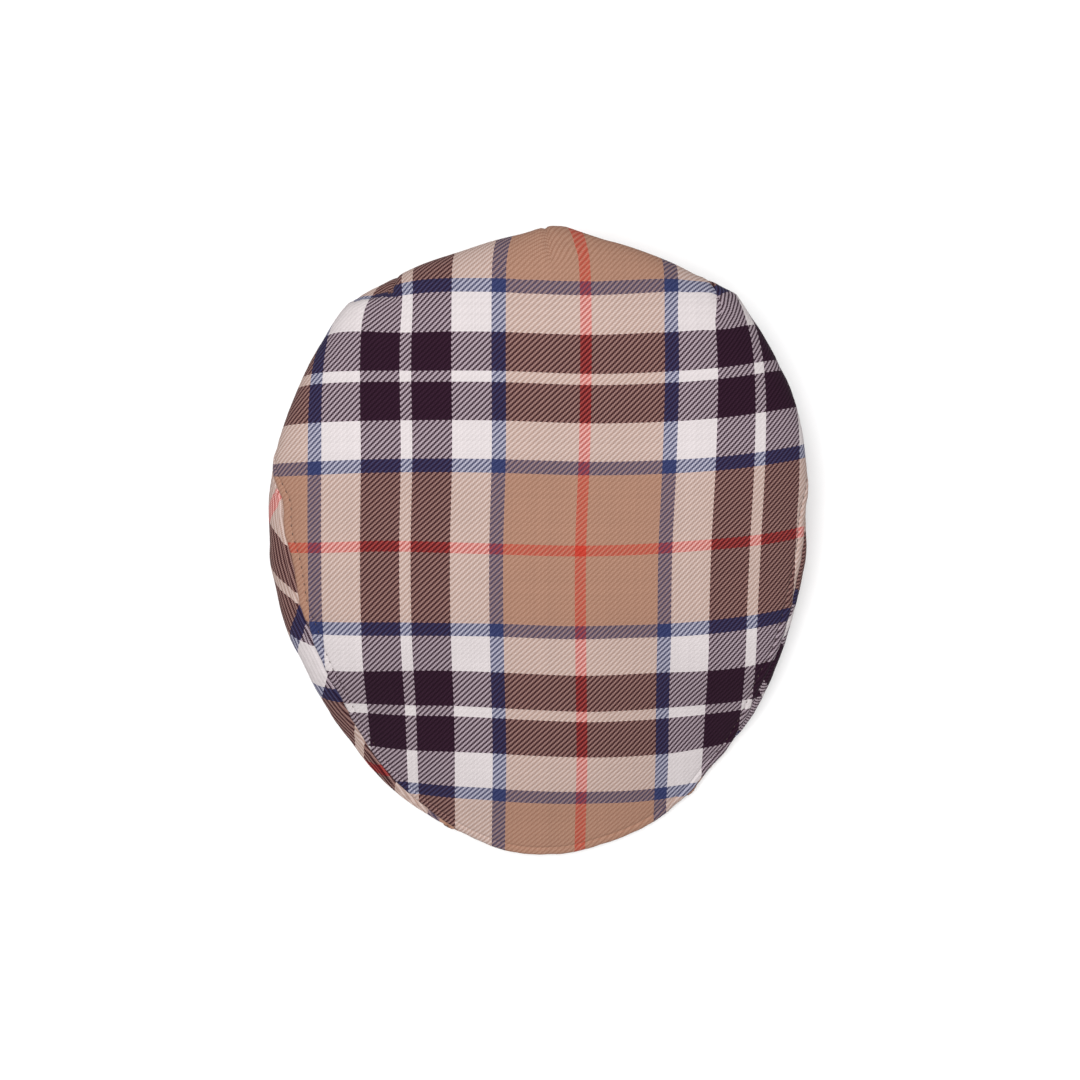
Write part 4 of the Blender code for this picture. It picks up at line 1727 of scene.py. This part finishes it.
@dataclass
class SidePanel:
    """One side of the crown, from its tip, in degrees beside the peak's front, to the seam at the back.

    The cloth thins towards its tip. Where it is narrow and at the back seam it has a least thickness, which
    grows by a share of the distance from there. marked is the spoke and the place q of the point by which
    it is laid on the tartan. near_rows is how far below the seam the first rows lie, and near_share how much
    of a narrow strip they may take. The waves end at wave_margins from the seam and from the foot.
    """

    crown: Crown
    finish: TartanFinish
    side: Side
    tip: float
    weave: Weave
    columns: int = 208
    crowding: float = 0.06
    rows: int = 36
    near_rows: tuple[float, ...] = (0.0, 0.0004, 0.0009, 0.0015, 0.0022, 0.0032)
    near_share: float = 0.45
    back_gap: float = 0.0003
    seam_gap: float = 0.0002
    foot_gap: float = 0.0007
    cloth: float = 0.0018
    hem: float = 0.0010
    hem_ends: tuple[float, float] = (0.015, 0.016)
    narrow: tuple[float, float] = (0.0006, 0.25)
    at_back: tuple[float, float] = (0.0009, 0.6)
    tip_fades: float = 16.0
    tip_share: float = 0.35
    bulge: float = 0.55
    wrap: float = 0.1
    marked: tuple[float, float] = (101.0, 0.99)
    mark_scale: float = 40.0
    seam_line: Ridge = Ridge(0.0, -0.0009, 0.0014)
    back_line: Ridge = Ridge(0.0, -0.0009, 0.0016)
    back_lip: Ridge = Ridge(0.0035, 0.0003, 0.0018)
    round_reach: float = 0.11
    waves: tuple[Wave, ...] = (Wave(0.034, 0.0005, 0.7), Wave(0.061, 0.0005, 2.0), Wave(0.019, 0.000175, 1.0))
    wave_margins: tuple[float, float] = (0.018, 0.016)
    puckers: tuple[Wave, ...] = (Wave(0.0083, 0.00008, 0.3), Wave(0.0131, 0.00008, 1.1))
    pucker_reach: float = 0.006

    def make(self) -> Cloth:
        """Lays out the panel.

        Returns:
            The panel's sheet, flattened.
        """
        crown, side = self.crown, self.side.value
        back_reach = float(crown.opening_reach(np.array([180.0]), crown.hem)[0])
        back = 180.0 - math.degrees(self.back_gap / back_reach)
        share = np.linspace(0.0, 1.0, self.columns + 1)
        share = share - self.crowding * np.sin(2.0 * math.pi * share) / math.pi
        spokes = np.sort(side * (self.tip + (back - self.tip) * share))
        start = crown.seam_distance(spokes) + self.seam_gap
        upper, lower = crown.lengths(spokes)
        span = upper + lower - self.foot_gap - start
        near = np.array(self.near_rows)[:, None]
        near = np.minimum(near / span, self.near_share * near / near[-1])
        steps = np.linspace(0.0, 1.0, self.rows - len(near) + 2)[1:, None]
        distance = start + span * np.concatenate([near, near[-1:] + (1.0 - near[-1:]) * steps])
        grid = np.arange(distance.size).reshape(distance.shape)[:, ::-1]
        angle = np.tile(spokes, (len(distance), 1)).reshape(-1)
        from_foot = (upper + lower - distance).reshape(-1)
        distance = distance.reshape(-1)
        points, q = crown.points(angle, distance)
        from_seam = distance - crown.seam_distance(angle)
        from_back = np.radians(180.0 - np.abs(angle)) * crown.outline_reach(angle)
        cloth = Cloth(
            f"side_panel_{self.side.name.lower()}", points, [grid], border(grid),
            self.thickness(angle, from_seam, from_foot, from_back), bulge=self.bulge, wrap=self.wrap,
        )
        cloth.points = points + cloth.normals() * self.relief(angle, from_seam, from_foot, from_back)[:, None]
        spoke, place = self.marked
        mark = int(np.argmin(np.hypot(angle - side * spoke, (q - place) * self.mark_scale)))
        self.weave.laid(cloth, mark, self.finish.pitch)
        return cloth

    def thickness(self, angle: Array, from_seam: Array, from_foot: Array, from_back: Array) -> Array:
        """Gives the cloth's thickness.

        Args:
            angle: The angle of each point.
            from_seam: Its distance from the top panel's seam.
            from_foot: Its distance from the lower edge.
            from_back: Its distance from the back seam.

        Returns:
            The thickness at each point.
        """
        whole, ends = self.hem_ends
        thick = self.cloth + self.hem * smoothstep(ends, whole, from_foot)
        for (least, slope), room in ((self.narrow, from_seam + from_foot), (self.at_back, from_back)):
            thick = np.minimum(thick, least + slope * room)
        whole = smoothstep(self.tip, self.tip + self.tip_fades, np.abs(angle))
        return thick * (self.tip_share + (1.0 - self.tip_share) * whole)

    def relief(self, angle: Array, from_seam: Array, from_foot: Array, from_back: Array) -> Array:
        """Gives how far the cloth stands out of the plain crown.

        Args:
            angle: The angle of each point.
            from_seam: Its distance from the top panel's seam.
            from_foot: Its distance from the lower edge.
            from_back: Its distance from the back seam.

        Returns:
            The height at each point.
        """
        round_edge = np.radians(angle) * self.round_reach
        top, foot = self.wave_margins
        middle = smoothstep(0.0, top, from_seam) * smoothstep(0.0, foot, from_foot)
        raised = self.seam_line.at(from_seam) + self.back_line.at(from_back) + self.back_lip.at(from_back)
        raised += middle * ripple(round_edge, self.waves)
        return raised + ripple(round_edge, self.puckers) * np.exp(-from_seam / self.pucker_reach)


@dataclass
class Peak:
    """The stiff board under the front of the top, covered with the same cloth.

    edge is how far it keeps inside the crown's lower edge, end_gap how many degrees before its span it ends,
    and closer how much thicker it is than the solid, so that it meets the top.
    """

    crown: Crown
    finish: TartanFinish
    weave: Weave = Weave(Grain.STRAIGHT, 0.0, 0.0)
    columns: int = 160
    rows: int = 24
    edge: float = 0.0008
    end_gap: float = 0.9
    bulge: float = 0.45
    closer: float = 0.0004

    def make(self) -> Cloth:
        """Lays out the peak with its underside as the outer face.

        Returns:
            The peak's sheet, flattened.
        """
        crown = self.crown
        spokes = np.linspace(-1.0, 1.0, self.columns + 1) * (crown.peak_span / 2 - self.end_gap)
        inner, outer = crown.opening_reach(spokes, 0.0) + self.edge, crown.edge_reach(spokes) - self.edge
        reach = outer + (inner - outer) * np.linspace(0.0, 1.0, self.rows + 1)[:, None]
        angle = np.tile(spokes, (self.rows + 1, 1))
        points = bearing(angle) * reach[..., None]
        points[..., 2] = crown.peak_underside(angle)
        grid = np.arange(reach.size).reshape(reach.shape)[:, ::-1]
        depth = crown.peak_depth(angle).reshape(-1) + self.closer
        cloth = Cloth("peak", points.reshape(-1, 3), [grid], border(grid), depth, bulge=self.bulge)
        self.weave.laid(cloth, grid[self.rows // 2, self.columns // 2], self.finish.pitch)
        return cloth


@dataclass
class EdgeStitching:
    """The row of stitches that holds the top panel's turned edge, from the angle from_front on each side.

    Each stitch is a short thread, blunt at its ends, which sink into the cloth.
    """

    finish: ThreadFinish
    from_front: float = 40.0
    spacing: float = 0.0038
    length: float = 0.0019
    radius: float = 0.00025
    flatness: float = 0.8
    bluntness: float = 0.08
    end_sink: float = 0.0003
    sides: int = 6
    rings: int = 5

    def make(self, cloth: Cloth, row: Array) -> bpy.types.Object:
        """Sews along a row of the panel's points.

        Args:
            cloth: The panel.
            row: The numbers of the points to sew along.

        Returns:
            The stitches, in one piece.
        """
        line, normals = cloth.points[row], cloth.normals()[row]
        marks = Crown.marks(line[None])[0]
        corners = np.arange(self.rings * self.sides).reshape(self.rings, self.sides)
        tube = quads(np.concatenate([corners, corners[:, :1]], axis=1))
        shape = [*tube.tolist(), corners[0, ::-1].tolist(), corners[-1].tolist()]
        points, faces = [], []
        for place in np.arange(self.spacing, marks[-1] - self.spacing, self.spacing):
            index = int(np.clip(np.searchsorted(marks, place), 1, len(line) - 1))
            share = (place - marks[index - 1]) / (marks[index] - marks[index - 1])
            centre = line[index - 1] * (1.0 - share) + line[index] * share
            if abs(math.degrees(math.atan2(centre[0], -centre[1]))) < self.from_front:
                continue
            faces += [[len(points) + corner for corner in face] for face in shape]
            points += self.stitch(centre, unit(line[index] - line[index - 1]), normals[index])
        piece = meshed("edge_stitching", points, faces)
        piece.data.shade_smooth()
        piece.data.materials.append(self.finish.material("edge_thread"))
        LOG.info("edge_stitching: %d stitches", len(points) // corners.size)
        return piece

    def stitch(self, centre: Array, ahead: Array, up: Array) -> list[list[float]]:
        """Gives the points of one stitch, ring by ring.

        Args:
            centre: Its middle.
            ahead: The direction of its thread.
            up: The direction away from the cloth.

        Returns:
            The points.
        """
        along = np.linspace(-1.0, 1.0, self.rings)[:, None, None]
        turn = 2.0 * math.pi * np.arange(self.sides)[:, None] / self.sides
        radius = self.radius * np.sqrt(np.maximum(1.0 - along ** 4, self.bluntness))
        offset = np.cross(up, ahead) * np.cos(turn) + up * np.sin(turn) * self.flatness
        points = centre + ahead * along * self.length / 2 + offset * radius - up * self.end_sink * along ** 2
        return points.reshape(-1, 3).tolist()


@dataclass(frozen=True)
class Studio:
    """A white paper floor, soft light from above and the camera straight above the cap."""

    paper: PaperFinish = PaperFinish()
    floor_reach: float = 3.0
    sky: float = 0.14
    lamp_place: tuple[float, float, float] = (-0.11, 0.04, 1.45)
    lamp_size: float = 0.85
    lamp_power: float = 29.0
    camera_place: tuple[float, float, float] = (0.00093, 0.00517, 0.7724)
    sensor: float = 36.0
    focal_share: float = 1661.0 / 1080.0
    clip_start: float = 0.01

    def make(self) -> None:
        """Sets up the floor, the lights and the camera."""
        reach = self.floor_reach
        corners = [(-reach, -reach, 0.0), (reach, -reach, 0.0), (reach, reach, 0.0), (-reach, reach, 0.0)]
        floor = meshed("floor", corners, [range(4)])
        floor.data.materials.append(self.paper.material("floor_paper"))

        scene = bpy.context.scene
        scene.world = bpy.data.worlds.new("studio")
        scene.world.use_nodes = True
        sky = scene.world.node_tree.nodes["Background"]
        sky.inputs["Color"].default_value = (1.0, 1.0, 1.0, 1.0)
        sky.inputs["Strength"].default_value = self.sky
        light = bpy.data.lights.new("overhead", "AREA")
        light.shape = "SQUARE"
        light.size = self.lamp_size
        light.energy = self.lamp_power
        lamp = placed("overhead", light)
        lamp.location = self.lamp_place
        away = unit(np.array(self.lamp_place))
        lamp.rotation_euler = (math.acos(away[2]), 0.0, math.atan2(away[0], -away[1]))

        lens = bpy.data.cameras.new("camera")
        lens.sensor_fit = "HORIZONTAL"
        lens.sensor_width = self.sensor
        lens.lens = self.sensor * self.focal_share
        lens.clip_start = self.clip_start
        scene.camera = placed("camera", lens)
        scene.camera.location = self.camera_place
        scene.view_settings.view_transform = "Standard"


def sew(cloth: Cloth, finish: bpy.types.Material) -> None:
    """Makes a sheet's piece and ties it to the frame, where it stands for the CAD node of the same name.

    Args:
        cloth: The sheet.
        finish: Its material.
    """
    piece = cloth.sewn(finish)
    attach(piece, "root")
    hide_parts(cloth.name)


def main() -> None:
    """Builds the cap and its surroundings."""
    logging.basicConfig(level=logging.INFO, format="%(name)s: %(message)s")
    crown, tartan = Crown(), TartanFinish()
    Studio().make()

    top = TopPanel(crown, tartan)
    top_cloth = top.make()
    sew(top_cloth, tartan.material("tartan_top"))
    side_material = tartan.material("tartan_side")
    left = SidePanel(crown, tartan, Side.LEFT, tip=10.0, weave=LEFT_WEAVE)
    sew(left.make(), side_material)
    right = SidePanel(crown, tartan, Side.RIGHT, tip=20.0, weave=RIGHT_WEAVE)
    sew(right.make(), side_material)
    sew(Peak(crown, tartan).make(), tartan.material("tartan_peak"))
    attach(EdgeStitching(ThreadFinish()).make(top_cloth, top.stitched(top_cloth)), "root")


if __name__ == "__main__":
    main()
